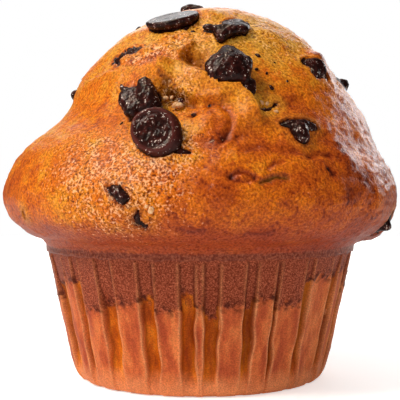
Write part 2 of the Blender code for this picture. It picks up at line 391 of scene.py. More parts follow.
LUMPS = (
    Lump(-26, 59.0, 5.0, 0.9),
    Lump(-8, 57.0, 5.0, 0.7),
    Lump(8, 53.5, 5.0, 0.8),
    Lump(-13, 53.0, 4.5, -0.9),
    Lump(-2, 50.0, 4.0, 0.6),
    Lump(49, 60.5, 5.5, 1.0),
    Lump(63, 64.0, 4.5, 0.5),
    Lump(-44, 62.0, 6.0, 0.5),
    Lump(-78, 61.0, 4.5, 1.0),
    Lump(-62, 66.0, 5.0, 0.8),
    Lump(88, 29.2, 5.0, 1.6),
    Lump(-90, 29.4, 6.0, -1.5),
    Lump(115, 60.0, 8.0, 1.0),
    Lump(150, 56.0, 6.0, -1.0),
    Lump(175, 61.0, 8.0, 1.1),
    Lump(-140, 57.0, 7.0, 0.9),
    Lump(-125, 64.0, 6.0, -0.8),
    # The hollow beside the middle chip, with a pit in it, both darkened with painted shade
    Lump(-7.4, 60.7, 2.7, -2.6, painted_shade=0.8),
    Lump(-11.1, 62.2, 0.7, -0.8, brown=0.5, painted_shade=0.4),
    # Painted shade in a dip right of the middle chip and in a small dent to the left
    Lump(17.2, 56.6, 2.2, -0.8, painted_shade=0.5),
    Lump(-18.2, 54.6, 1.6, -0.5, painted_shade=0.6),
    # A browner patch, and a pale dip by a chip on the right
    Lump(-31.5, 55.5, 2.2, 0.0, brown=0.25),
    Lump(17.6, 52.7, 2.0, -0.8, pale=0.45),
    # Paler batter above the hollow and beside the middle chip
    Lump(-3.5, 64.5, 2.6, 0.2, pale=0.35),
    Lump(26.0, 64.8, 4.5, 0.0, pale=0.25),
    Lump(3.8, 54.7, 4.0, 0.0, pale=0.12),
    # The browned bump below the tongue, and the pits round it, which are darkened with painted shade
    Lump(-1.0, 49.4, 3.0, 1.0, brown=0.12),
    Lump(-6.5, 50.9, 0.7, -0.8, brown=0.4),
    Lump(-1.2, 52.4, 1.0, -0.6, brown=0.2),
    # Small bumps and dimples round the chips
    Lump(56.0, 61.6, 2.4, 1.2, brown=0.5),
    Lump(-42.0, 61.2, 1.7, 0.9),
    Lump(-3.0, 70.8, 3.0, 0.9),
    Lump(36.0, 66.5, 3.0, 0.5),
    Lump(27.0, 43.5, 3.5, 0.5),
    Lump(33.0, 38.0, 5.0, 0.4),
    Lump(9.0, 43.0, 3.5, 0.35),
    Lump(58.0, 47.0, 4.0, -0.5),
    Lump(44.0, 44.0, 3.0, 0.4),
    # Where painted highlights gather: light glint specks painted into the colour, with dark pits among them
    Lump(-24.0, 41.5, 11.0, 0.0, painted_glint_zone=0.75),
    Lump(-12.0, 37.5, 9.0, 0.0, painted_glint_zone=0.6),
    Lump(-40.0, 44.0, 9.0, 0.0, painted_glint_zone=0.4),
    Lump(-8.0, 45.5, 6.0, 0.0, painted_glint_zone=0.85),
    Lump(-32.0, 37.0, 7.0, 0.0, painted_glint_zone=0.4),
    Lump(-15.0, 54.5, 3.5, 0.0, painted_glint_zone=0.9),
    Lump(-38.0, 61.0, 6.0, 0.0, painted_glint_zone=0.5),
    Lump(-24.0, 62.5, 5.0, 0.0, painted_glint_zone=0.9),
    Lump(-10.0, 67.0, 6.0, 0.0, painted_glint_zone=0.7),
    Lump(35.0, 67.0, 8.0, 0.0, painted_glint_zone=0.9),
    Lump(-7.0, 56.5, 3.0, 0.0, painted_glint_zone=0.5),
    Lump(66.0, 56.0, 8.0, 0.0, painted_glint_zone=0.5),
    Lump(74.0, 42.0, 9.0, 0.0, painted_glint_zone=0.5),
    Lump(-150.0, 44.0, 12.0, 0.0, painted_glint_zone=0.6),
    Lump(130.0, 40.0, 11.0, 0.0, painted_glint_zone=0.5),
    Lump(170.0, 62.0, 10.0, 0.0, painted_glint_zone=0.5),
    # Where it has browned more or less than round about
    Lump(32.0, 62.5, 8.0, 0.0, brown=-0.13),
    Lump(26.0, 66.5, 4.0, 0.0, pale=0.2),
    Lump(-64.0, 36.0, 10.0, 0.0, brown=0.1),
    Lump(0.0, 36.5, 8.0, 0.0, brown=0.13, painted_glint_zone=-0.1),
    Lump(-34.0, 51.0, 4.0, 0.0, brown=0.2),
    Lump(-58.0, 53.0, 6.0, 0.0, brown=0.12),
    Lump(-25.0, 60.5, 3.0, 0.0, brown=0.12),
    Lump(45.0, 36.0, 7.0, 0.0, brown=0.08),
)

FOLDS = (
    # The tongue of batter that runs down from the left to the middle chip
    Fold(((-21, 58.6), (-13, 57.7), (-6, 56.4), (1, 55.1), (7, 53.9), (10.5, 52.0), (11, 49.8)), 2.5, 1.2, pale=0.16),
    Fold(
        ((-16.5, 59.6), (-12, 59.2), (-7.6, 58.4), (-4.4, 57.6), (0.2, 56.7), (6.5, 56.0), (10.4, 54.9), (14, 51.0)),
        1.8,
        1.5,
        Edge.LAP_RIGHT,
    ),
    Fold(((-20.6, 58.8), (-18.6, 56.4), (-15.8, 55.2), (-10, 54.4), (-4, 53.4), (1, 53.0)), 1.5, 1.4, Edge.LAP_LEFT),
    # Cracks under the tongue, browned and darkened with painted shade
    Fold(((-17.5, 56.2), (-15, 54.6), (-11, 53.6), (-7, 52.8)), 0.6, -0.9, brown=0.3, painted_shade=0.5),
    Fold(((-20.5, 57.6), (-18.2, 56.9), (-15.6, 56.6)), 0.45, -0.6, brown=0.5, painted_shade=0.4),
    Fold(((-16.2, 54.3), (-13.8, 54.9), (-11.2, 54.4)), 0.5, -0.7, brown=0.5, painted_shade=0.4),
    # The lip on the left of the hollow beside the middle chip
    Fold(((-11, 64.2), (-14.3, 62.8), (-15.3, 61.6), (-13.8, 60.4), (-10.8, 59.5)), 0.75, 1.2, brown=0.2),
    # Wrinkles in the skin above the left shoulder
    Fold(((-34, 63.2), (-28, 64.3), (-22, 63.7), (-17.5, 62.3)), 0.8, 0.55),
    Fold(((-31, 61.8), (-26, 62.5), (-20, 61.4)), 0.7, 0.45, brown=0.1),
    Fold(((-24, 66.0), (-19, 66.8), (-14, 66.0)), 0.7, 0.4),
    # Curved ridges and grooves round the browned bump, a groove darkened with painted brown shade
    Fold(((0.2, 51.6), (3.2, 50.3), (4.6, 48.9), (3.9, 47.3)), 0.5, 0.25),
    Fold(((2, 52.2), (5.4, 50.6), (6.6, 48.6), (5.4, 46.4)), 0.5, -0.4, brown=0.25),
    Fold(((4.5, 51.6), (7.6, 49.8), (8.7, 47.6), (6.8, 45.5)), 0.6, 0.3),
    Fold(((-3, 46.4), (3, 46.2), (9, 47.2), (14, 48.6)), 0.9, -0.3, brown=0.15),
    # Dents and cracks on the front flank, darkened with painted brown shade
    Fold(((7.5, 40.3), (10.5, 41.1), (14, 40.4)), 0.5, -0.6, brown=0.4),
    Fold(((8, 40.0), (11, 39.5), (14.5, 40.1)), 0.5, -0.4, brown=0.25),
    Fold(((15.5, 39.4), (18, 40.0), (20, 40.4), (23, 40.2)), 0.5, -0.75, brown=0.5, pale=0.2),
    Fold(((18, 41.8), (20, 42.6), (22.5, 42.9)), 0.45, -0.4, brown=0.35),
    Fold(((11, 44.8), (17, 45.6), (22, 44.8), (27, 44.6)), 0.7, -0.35, brown=0.2),
    Fold(((31, 43.6), (35, 44.4), (39, 44.0)), 0.6, -0.4, brown=0.3),
    Fold(((36.5, 41.8), (37.5, 40.8)), 0.5, -0.5, brown=0.5),
    Fold(((13, 30.3), (17, 30.1), (20, 30.5)), 0.6, -0.3, brown=0.35),
    Fold(((-5, 31.2), (-1.5, 30.9), (1, 31.3)), 0.7, -0.3, brown=0.4),
    # The edge where the upper dome sits on the left shoulder
    Fold(((-66, 58.0), (-52, 59.2), (-40, 59.2), (-30, 60.1), (-22, 59.6)), 2.4, 0.5, Edge.LAP_RIGHT),
    # A groove below it, darkened with painted brown shade
    Fold(((-46, 60.6), (-36, 60.6), (-27, 61.3)), 0.6, -0.35, brown=0.15),
    # Laps on the sides and the back, as uneven as the front
    Fold(((86, 52.0), (98, 55.5), (112, 54.0), (124, 57.0)), 3.0, 0.8, Edge.LAP_LEFT, pale=0.1),
    Fold(((135, 60.0), (146, 57.5), (158, 58.5), (170, 55.0), (180, 56.0)), 3.0, 0.9, Edge.LAP_RIGHT, pale=0.1),
    # A groove, darkened with painted brown shade
    Fold(((140, 48.0), (152, 47.0), (162, 48.5)), 0.6, -0.5, brown=0.3),
    Fold(((196, 62.0), (208, 60.0), (220, 61.5), (231, 59.0)), 2.8, 0.8, Edge.LAP_RIGHT, pale=0.12),
    # Grooves darkened with painted brown shade
    Fold(((205, 44.0), (212, 44.8), (219, 44.0)), 0.6, -0.5, brown=0.4),
    Fold(((246, 50.0), (254, 52.5), (263, 51.5)), 0.8, -0.5, brown=0.3),
)


@dataclass
class Crust:
    """The state of every crown point while it is being shaped: its place, its facing and its bake."""

    places: np.ndarray
    outward: np.ndarray
    push: np.ndarray
    brown: np.ndarray
    pale: np.ndarray
    # How much painted shade darkens each point
    painted_shade: np.ndarray
    # How dark the chocolate stain and painted contact shadow are at each point
    stain_and_shade: np.ndarray
    # Where painted highlights gather at each point
    painted_glint_zone: np.ndarray

    def swell(self, lump: Lump, form: CrownForm) -> None:
        """Adds a lump to the surface."""
        middle, _ = form.at([(lump.azimuth, lump.height)])
        distance = np.linalg.norm(self.places - middle[0], axis=1)
        share = bell(distance, lump.reach * MM)
        self.push += lump.rise * MM * share
        self.brown += lump.brown * share
        self.pale += lump.pale * share
        self.painted_shade += lump.painted_shade * share
        self.painted_glint_zone += lump.painted_glint_zone * share

    def crease(self, fold: Fold, form: CrownForm) -> None:
        """Adds a fold to the surface.

        Args:
            fold: The fold.
            form: The crown that its route lies on.
        """
        route = [tuple(spot) for spot in smooth_curve(list(fold.route), 8)]
        line, facing = form.at(route)
        run = np.gradient(line, axis=0)
        leftward = np.cross(facing, run)
        reach = 4.0 * fold.width * MM
        low, high = line.min(axis=0) - reach, line.max(axis=0) + reach
        near = np.where(((self.places > low) & (self.places < high)).all(axis=1))[0]
        if not len(near):
            return
        offsets = self.places[near, None, :] - line[None, :, :]
        spans = np.linalg.norm(offsets, axis=2)
        closest = spans.argmin(axis=1)
        rows = np.arange(len(near))
        distance = spans[rows, closest]
        side = np.einsum("ij,ij->i", offsets[rows, closest], leftward[closest])
        width = np.full(len(near), fold.width * MM)
        if fold.edge is Edge.LAP_RIGHT:
            width[side > 0] = 0.45 * MM
        elif fold.edge is Edge.LAP_LEFT:
            width[side < 0] = 0.45 * MM
        share = np.exp(-((distance / width) ** 2))
        self.push[near] += fold.rise * MM * share
        self.brown[near] += fold.brown * share
        self.pale[near] += fold.pale * share
        self.painted_shade[near] += fold.painted_shade * share
        self.stain_and_shade[near] = np.maximum(self.stain_and_shade[near], fold.stain_and_shade * share)

    def meet(self, chip: "ChipSolid") -> None:
        """Shapes the crust round a chip: pressed in under it, raised along its edge and paler a little way off, with a
        brown ring of painted shade beside it and a dark line of chocolate stain and painted contact shadow at the edge.

        Args:
            chip: The chip, with its mesh.
        """
        skin = places_of(chip.mesh)
        middle = skin.mean(axis=0)
        reach = np.linalg.norm(skin - middle, axis=1).max() + 2.5 * MM
        near = np.where(np.linalg.norm(self.places - middle, axis=1) < reach)[0]
        tree = BVHTree.FromPolygons(skin.tolist(), [tuple(face.vertices) for face in chip.mesh.polygons])
        above = 4.0 * MM
        gaps, tops = np.zeros(len(near)), np.full(len(near), -1.0)
        for row, point in enumerate(near):
            place, facing = Vector(self.places[point]), Vector(self.outward[point])
            gaps[row] = tree.find_nearest(place)[3]
            met = tree.ray_cast(place + facing * above, -facing, 2 * above)
            if met[3] is not None:
                tops[row] = above - met[3]
        covered = tops > -2.0 * MM
        gaps = np.where(covered, 0.0, gaps) + 0.12 * MM * roughen(self.places[near], 1.0 * MM, 2, shift=3.0)
        sunk = np.minimum(self.push[near], tops - 0.3 * MM)
        rim = self.push[near] + 0.2 * MM * bell(gaps - 0.45 * MM, 0.35 * MM)
        self.push[near] = np.where(covered, sunk, rim)
        self.pale[near] += chip.halo * bell(gaps - 0.9 * MM, 0.8 * MM)
        # Painted shade: a brown ring on the crust just beside the chip
        self.brown[near] += 0.3 * bell(gaps - 0.2 * MM, 0.45 * MM)
        # A dark line at the chip's edge: chocolate stain, and painted contact shadow
        stain_and_shade = 0.6 * (1.0 - ease(gaps, 0.1 * MM, 0.3 * MM))
        self.stain_and_shade[near] = np.maximum(self.stain_and_shade[near], stain_and_shade)


# ---------------------------------------------------------------------------------------------
# Finishes
# ---------------------------------------------------------------------------------------------


@dataclass(frozen=True)
class BakedCrust:
    """Muffin crust, risen and browned in the oven. It gives the eye a golden to brown skin with a fine open grain and a
    glossy coat; the broken shine on it is partly painted highlights: light glint specks painted into its colour, with
    dark pits among them."""

    name: str = "baked_muffin_crust"
    grain: float = 0.42 * MM
    blotch: float = 4.5 * MM
    pore: float = 1.0 * MM
    vein: float = 1.3 * MM
    relief: float = 0.2 * MM
    grain_dark: tuple[float, float, float, float] = (0.6, 0.44, 0.3, 1.0)
    grain_light: tuple[float, float, float, float] = (1.2, 1.24, 1.16, 1.0)
    stops: tuple[tuple[float, str], ...] = (
        (0.0, "#e3ad4a"),
        (0.22, "#e49424"),
        (0.42, "#df7612"),
        (0.62, "#c05713"),
        (0.82, "#93390f"),
        (1.0, "#5a1d09"),
    )
    crumb: str = "#e6a636"
    # Painted shade: the dark golden brown of hollows, pits and cracks
    painted_shade: str = "#7c4706"
    # Painted highlight: the light specks that stand for glints on the glossy skin
    painted_glint_color: str = "#ffd4a2"
    pit: str = "#672608"
    # Painted shade under the lip's overhang: a darker, redder brown
    underside: str = "#9c412a"
    band_stops: tuple[tuple[float, str], ...] = ((0.36, "#6f2a17"), (0.52, "#883f29"), (0.66, "#a85a3c"))
    # The dark of melted chocolate and of painted contact shadow at the chips' edges
    stain_and_shade: str = "#2a110b"

    def make(self) -> bpy.types.Material:
        """The finish as a material that reads the layers painted on the crust."""
        material, tree, shader = new_material(self.name)
        where = add_node(tree, "ShaderNodeTexCoord").outputs["Object"]
        grain = add_node(
            tree, "ShaderNodeTexNoise", {"Vector": where, "Scale": 1 / self.grain, "Detail": 2.0, "Roughness": 0.6}
        )
        blotch = add_node(
            tree, "ShaderNodeTexNoise", {"Vector": where, "Scale": 1 / self.blotch, "Detail": 4.0, "Roughness": 0.6}
        )
        pore = add_node(
            tree, "ShaderNodeTexNoise", {"Vector": where, "Scale": 1 / self.pore, "Detail": 1.0, "Roughness": 0.5}
        )
        layers = {
            layer: add_node(tree, "ShaderNodeAttribute", attribute_name=layer).outputs["Fac"]
            for layer in ("bake", "pale", "painted_shade", "stain_and_shade", "under", "band", "painted_glint_zone")
        }
        blotched = add_node(
            tree, "ShaderNodeMath", {0: blotch.outputs["Fac"], 1: 0.9, 2: -0.45}, operation="MULTIPLY_ADD"
        )
        toned = add_node(tree, "ShaderNodeMath", {0: layers["bake"], 1: blotched.outputs[0]}, operation="ADD")
        pored = add_node(
            tree,
            "ShaderNodeMapRange",
            {"Value": pore.outputs["Fac"], "From Min": 0.56, "From Max": 0.72, "To Max": 0.2},
        )
        deeper = add_node(tree, "ShaderNodeMath", {0: toned.outputs[0], 1: pored.outputs[0]}, operation="ADD")
        browned = add_node(tree, "ShaderNodeValToRGB", {"Fac": deeper.outputs[0]}, stops=self.stops)
        band = add_node(tree, "ShaderNodeValToRGB", {"Fac": grain.outputs["Fac"]}, stops=self.band_stops)
        grained = add_node(
            tree, "ShaderNodeMapRange", {"Value": grain.outputs["Fac"], "From Min": 0.36, "From Max": 0.64}
        )
        tint = add_node(
            tree,
            "ShaderNodeMix",
            {MIX_FACTOR: grained.outputs[0], MIX_A: self.grain_dark, MIX_B: self.grain_light},
            data_type="RGBA",
        )
        # Painted highlight specks, gathered where the painted glint zone is strong and along thin veins
        clustered = add_node(
            tree, "ShaderNodeMath", {0: pore.outputs["Fac"], 1: 0.3, 2: grain.outputs["Fac"]}, operation="MULTIPLY_ADD"
        )
        raised = add_node(
            tree, "ShaderNodeMath", {0: layers["painted_glint_zone"], 1: 0.27, 2: clustered.outputs[0]}, operation="MULTIPLY_ADD"
        )
        vein = add_node(
            tree, "ShaderNodeTexNoise", {"Vector": where, "Scale": 1 / self.vein, "Detail": 1.0, "Roughness": 0.5}
        )
        off_vein = add_node(tree, "ShaderNodeMath", {0: vein.outputs["Fac"], 1: 0.5}, operation="SUBTRACT")
        beside = add_node(tree, "ShaderNodeMath", {0: off_vein.outputs[0]}, operation="ABSOLUTE")
        streaked = add_node(
            tree, "ShaderNodeMath", {0: beside.outputs[0], 1: -1.6, 2: raised.outputs[0]}, operation="MULTIPLY_ADD"
        )
        painted_glint_mask = add_node(
            tree, "ShaderNodeMapRange", {"Value": streaked.outputs[0], "From Min": 0.82, "From Max": 1.02, "To Max": 0.6}
        )
        # Dark pits in the grain, more of them where the painted highlights gather
        sunk = add_node(
            tree, "ShaderNodeMath", {0: layers["painted_glint_zone"], 1: -0.16, 2: grain.outputs["Fac"]}, operation="MULTIPLY_ADD"
        )
        pits = add_node(
            tree,
            "ShaderNodeMapRange",
            {"Value": sunk.outputs[0], "From Min": 0.2, "From Max": 0.31, "To Min": 0.8, "To Max": 0.0},
        )
        shown = browned.outputs["Color"]
        for factor, over in (
            (layers["pale"], linear(self.crumb)),
            # painted shade in hollows, pits and cracks
            (layers["painted_shade"], linear(self.painted_shade)),
            (layers["under"], linear(self.underside)),
            (pits.outputs[0], linear(self.pit)),
            (None, tint.outputs[MIX_RESULT]),
            # painted highlight specks
            (painted_glint_mask.outputs[0], linear(self.painted_glint_color)),
            (layers["band"], band.outputs["Color"]),
        ):
            if factor is None:
                shown = add_node(tree, "ShaderNodeVectorMath", {0: shown, 1: over}, operation="MULTIPLY").outputs[0]
                continue
            mixed = add_node(
                tree, "ShaderNodeMix", {MIX_FACTOR: factor, MIX_A: shown, MIX_B: over}, data_type="RGBA"
            )
            shown = mixed.outputs[MIX_RESULT]
        # Chocolate stain and painted contact shadow by the chips
        ragged = add_node(tree, "ShaderNodeMath", {0: layers["stain_and_shade"], 1: grain.outputs["Fac"]}, operation="ADD")
        stain_and_shade_mask = add_node(
            tree, "ShaderNodeMapRange", {"Value": ragged.outputs[0], "From Min": 0.85, "From Max": 1.05}
        )
        color = add_node(
            tree,
            "ShaderNodeMix",
            {MIX_FACTOR: stain_and_shade_mask.outputs[0], MIX_A: shown, MIX_B: linear(self.stain_and_shade)},
            data_type="RGBA",
        )
        relief = add_node(
            tree,
            "ShaderNodeMath",
            {0: pore.outputs["Fac"], 1: -0.5, 2: grain.outputs["Fac"]},
            operation="MULTIPLY_ADD",
        )
        bump = add_node(
            tree, "ShaderNodeBump", {"Strength": 1.0, "Distance": self.relief, "Height": relief.outputs[0]}
        )
        tree.links.new(color.outputs[MIX_RESULT], shader.inputs["Base Color"])
        tree.links.new(bump.outputs["Normal"], shader.inputs["Normal"])
        tree.links.new(bump.outputs["Normal"], shader.inputs["Coat Normal"])
        shader.inputs["Roughness"].default_value = 0.5
        shader.inputs["Specular IOR Level"].default_value = 0.06
        shader.inputs["Coat Weight"].default_value = 0.25
        shader.inputs["Coat Roughness"].default_value = 0.08
        return material


@dataclass(frozen=True)
class BakingPaper:
    """Pleated baking paper, soaked with fat in the oven. It gives the eye a warm brown sheet, amber in
    its folds, dark and grainy where the crumb has stuck to it."""

    name: str = "greased_baking_paper"
    fibre: float = 0.26 * MM
    cloud: float = 2.6 * MM
    cloud_stretch: tuple[float, float, float] = (1.0, 1.0, 0.28)
    relief: float = 0.07 * MM
    facet_stops: tuple[tuple[float, str], ...] = ((0.36, "#dc7a42"), (0.5, "#c86032"), (0.64, "#ae4a28"))
    groove_stops: tuple[tuple[float, str], ...] = ((0.36, "#ea861c"), (0.5, "#cc620c"), (0.64, "#a64406"))
    stuck_stops: tuple[tuple[float, str], ...] = ((0.34, "#7a2d12"), (0.52, "#944329"), (0.66, "#b36040"))
    # Painted light: the paler foot, for light bounced up off the floor
    foot: str = "#f09a62"
    # Painted highlight along the ridges of the pleats
    crease: str = "#eb9c66"
    # Painted shade at the foot of the pleats' walls and across the grooves on the right
    corner: str = "#501503"
    crumb: str = "#481408"
    fibre_dark: float = 0.74
    fibre_light: float = 1.2

    def make(self) -> bpy.types.Material:
        """The finish as a material that reads the paper's groove, foot, stuck, crease, corner and crumb layers."""
        material, tree, shader = new_material(self.name)
        where = add_node(tree, "ShaderNodeTexCoord").outputs["Object"]
        fibre = add_node(
            tree, "ShaderNodeTexNoise", {"Vector": where, "Scale": 1 / self.fibre, "Detail": 2.0, "Roughness": 0.6}
        )
        drawn = add_node(tree, "ShaderNodeVectorMath", {0: where, 1: self.cloud_stretch}, operation="MULTIPLY")
        cloud = add_node(
            tree,
            "ShaderNodeTexNoise",
            {"Vector": drawn.outputs[0], "Scale": 1 / self.cloud, "Detail": 3.0, "Roughness": 0.6},
        )
        layers = {
            layer: add_node(tree, "ShaderNodeAttribute", attribute_name=layer).outputs["Fac"]
            for layer in ("groove", "foot", "stuck", "crease", "corner", "crumb")
        }
        facet = add_node(tree, "ShaderNodeValToRGB", {"Fac": cloud.outputs["Fac"]}, stops=self.facet_stops)
        groove = add_node(tree, "ShaderNodeValToRGB", {"Fac": cloud.outputs["Fac"]}, stops=self.groove_stops)
        stuck = add_node(tree, "ShaderNodeValToRGB", {"Fac": fibre.outputs["Fac"]}, stops=self.stuck_stops)
        shown = facet.outputs["Color"]
        for layer, over in (
            ("groove", groove.outputs["Color"]),
            ("foot", linear(self.foot)),
            ("stuck", stuck.outputs["Color"]),
            ("crease", linear(self.crease)),
            ("corner", linear(self.corner)),
            ("crumb", linear(self.crumb)),
        ):
            mixed = add_node(
                tree, "ShaderNodeMix", {MIX_FACTOR: layers[layer], MIX_A: shown, MIX_B: over}, data_type="RGBA"
            )
            shown = mixed.outputs[MIX_RESULT]
        grained = add_node(
            tree,
            "ShaderNodeMapRange",
            {
                "Value": fibre.outputs["Fac"],
                "From Min": 0.34,
                "From Max": 0.66,
                "To Min": self.fibre_dark,
                "To Max": self.fibre_light,
            },
        )
        color = add_node(tree, "ShaderNodeVectorMath", {0: shown, "Scale": grained.outputs[0]}, operation="SCALE")
        bump = add_node(
            tree, "ShaderNodeBump", {"Strength": 1.0, "Distance": self.relief, "Height": fibre.outputs["Fac"]}
        )
        tree.links.new(color.outputs[0], shader.inputs["Base Color"])
        tree.links.new(bump.outputs["Normal"], shader.inputs["Normal"])
        shader.inputs["Roughness"].default_value = 0.5
        shader.inputs["Specular IOR Level"].default_value = 0.12
        return material


@dataclass(frozen=True)
class DarkChocolate:
    """Dark chocolate, softened in the oven and set again. It gives the eye a near-black brown with a waxy gloss, small
    glints from the grain of its skin, and painted highlights: light dots painted into its colour that stand for glints."""

    name: str = "dark_chocolate"
    grain: float = 0.36 * MM
    bloom: float = 1.2 * MM
    relief: float = 0.1 * MM
    stops: tuple[tuple[float, str], ...] = ((0.36, "#1a0705"), (0.52, "#2e100c"), (0.68, "#4a1d17"))
    # A lighter, redder colour painted round the rim of a button's flat face
    rim_red: str = "#582520"
    # Painted highlight: the light dots that stand for glints
    painted_chip_glint_color: str = "#e6d3c6"

    def make(self) -> bpy.types.Material:
        """The finish as a material on Object coordinates."""
        material, tree, shader = new_material(self.name)
        where = add_node(tree, "ShaderNodeTexCoord").outputs["Object"]
        grain = add_node(
            tree, "ShaderNodeTexNoise", {"Vector": where, "Scale": 1 / self.grain, "Detail": 2.0, "Roughness": 0.55}
        )
        bloom = add_node(
            tree, "ShaderNodeTexNoise", {"Vector": where, "Scale": 1 / self.bloom, "Detail": 2.0, "Roughness": 0.6}
        )
        rim = add_node(tree, "ShaderNodeAttribute", attribute_name="rim")
        skin = add_node(tree, "ShaderNodeValToRGB", {"Fac": bloom.outputs["Fac"]}, stops=self.stops)
        ringed = add_node(
            tree,
            "ShaderNodeMix",
            {MIX_FACTOR: rim.outputs["Fac"], MIX_A: skin.outputs["Color"], MIX_B: linear(self.rim_red)},
            data_type="RGBA",
        )
        # Painted highlight: light dots where the bloom and grain noises peak together
        gathered = add_node(
            tree, "ShaderNodeMath", {0: bloom.outputs["Fac"], 1: 0.6, 2: grain.outputs["Fac"]}, operation="MULTIPLY_ADD"
        )
        painted_chip_glint_mask = add_node(
            tree, "ShaderNodeMapRange", {"Value": gathered.outputs[0], "From Min": 0.97, "From Max": 1.04}
        )
        color = add_node(
            tree,
            "ShaderNodeMix",
            {MIX_FACTOR: painted_chip_glint_mask.outputs[0], MIX_A: ringed.outputs[MIX_RESULT], MIX_B: linear(self.painted_chip_glint_color)},
            data_type="RGBA",
        )
        bump = add_node(
            tree, "ShaderNodeBump", {"Strength": 1.0, "Distance": self.relief, "Height": grain.outputs["Fac"]}
        )
        tree.links.new(color.outputs[MIX_RESULT], shader.inputs["Base Color"])
        tree.links.new(bump.outputs["Normal"], shader.inputs["Normal"])
        tree.links.new(bump.outputs["Normal"], shader.inputs["Coat Normal"])
        shader.inputs["Roughness"].default_value = 0.45
        shader.inputs["Specular IOR Level"].default_value = 0.03
        shader.inputs["Coat Weight"].default_value = 0.27
        shader.inputs["Coat Roughness"].default_value = 0.06
        return material


@dataclass(frozen=True)
class LooseCrumb:
    """Open, unbrowned muffin crumb. It gives the eye a pale, dry and grainy gold."""

    name: str = "open_muffin_crumb"
    grain: float = 0.5 * MM
    stops: tuple[tuple[float, str], ...] = ((0.36, "#d08a4a"), (0.6, "#ecc190"))

    def make(self) -> bpy.types.Material:
        """The finish as a material on Object coordinates."""
        material, tree, shader = new_material(self.name)
        where = add_node(tree, "ShaderNodeTexCoord").outputs["Object"]
        grain = add_node(tree, "ShaderNodeTexNoise", {"Vector": where, "Scale": 1 / self.grain, "Detail": 2.0})
        color = add_node(tree, "ShaderNodeValToRGB", {"Fac": grain.outputs["Fac"]}, stops=self.stops)
        tree.links.new(color.outputs["Color"], shader.inputs["Base Color"])
        shader.inputs["Roughness"].default_value = 0.7
        return material


@dataclass(frozen=True)
class StudioPaper:
    """White seamless paper over a light table, matt, which the muffin stands on."""

    name: str = "white_seamless_paper"
    color: str = "#f7f6f4"
    glow: float = 0.12
    seen_glow: float = 0.6

    def make(self) -> bpy.types.Material:
        """The finish as a material, which is lit from below more strongly to the eye than to the muffin."""
        material, tree, shader = new_material(self.name)
        seen = add_node(tree, "ShaderNodeLightPath")
        glow = add_node(
            tree,
            "ShaderNodeMapRange",
            {"Value": seen.outputs["Is Camera Ray"], "To Min": self.glow, "To Max": self.seen_glow},
        )
        tree.links.new(glow.outputs[0], shader.inputs["Emission Strength"])
        shader.inputs["Base Color"].default_value = linear(self.color)
        shader.inputs["Roughness"].default_value = 0.9
        shader.inputs["Emission Color"].default_value = linear(self.color)
        return material


# ---------------------------------------------------------------------------------------------
# Chocolate chips
# ---------------------------------------------------------------------------------------------


class ChipForm(Enum):
    """The shapes that the chips have come out of the oven in."""

    DROP = "a rounded drop with a soft tip"
    BUTTON = "a drop whose hollowed base faces out"
    COIN = "a thin button with a plain flat face"
    MELTED = "a slumped, granular lump"


@dataclass
class ChipSolid:
    """A chip's place and size, read from its solid in the frame."""

    node: str
    base: np.ndarray
    axis: np.ndarray
    radius: float
    tall: float
    form: ChipForm = ChipForm.DROP
    lumps: tuple[tuple["Knob", ...], ...] = ()
    halo: float = 0.2
    flat_at: float = 9.0
    slide: tuple[float, float] = (0.0, 0.0)
    mesh: bpy.types.Mesh | None = None

    @property
    def middle(self) -> np.ndarray:
        """The point half way up the chip's axis."""
        return self.base + self.axis * self.tall * 0.45

    @classmethod
    def measure(cls, node: str, solid: bpy.types.Object) -> "ChipSolid":
        """Reads a chip from its solid: the widest flat side is its base, and the tip lies straight above.

        Args:
            node: The node's name.
            solid: The node's object.

        Returns:
            The chip.
        """
        mesh = solid.data
        facings = np.array([polygon.normal for polygon in mesh.polygons])
        areas = np.array([polygon.area for polygon in mesh.polygons])
        centres = np.array([polygon.center for polygon in mesh.polygons])
        together = (facings @ facings.T) > 0.9995
        flat = together[np.argmax(together @ areas)]
        axis = -(facings[flat] * areas[flat, None]).sum(axis=0)
        axis /= np.linalg.norm(axis)
        base = (centres[flat] * areas[flat, None]).sum(axis=0) / areas[flat].sum()
        offsets = places_of(mesh) - base
        along = offsets @ axis
        across = np.linalg.norm(offsets - along[:, None] * axis, axis=1)
        return cls(node, base, axis, float(across.max()), float(along.max()))


@dataclass(frozen=True)
class Knob:
    """A rounded end or bulge of a lump of chocolate, as seen from the front: where it lies from the
    chip's middle, how large it is, and how far it stands out. Millimetres."""

    right: float
    up: float
    radius: float
    out: float = 0.0

    def middle(self, chip: ChipSolid, form: CrownForm) -> np.ndarray:
        """The knob's middle in metres, which follows the slope of the crust from the chip's middle."""
        x, z = chip.middle[0] + self.right * MM, chip.middle[2] + self.up * MM
        slope = form.front(x, z) - form.front(chip.middle[0], chip.middle[2])
        return np.array([x, chip.middle[1] + slope - self.out * MM, z])


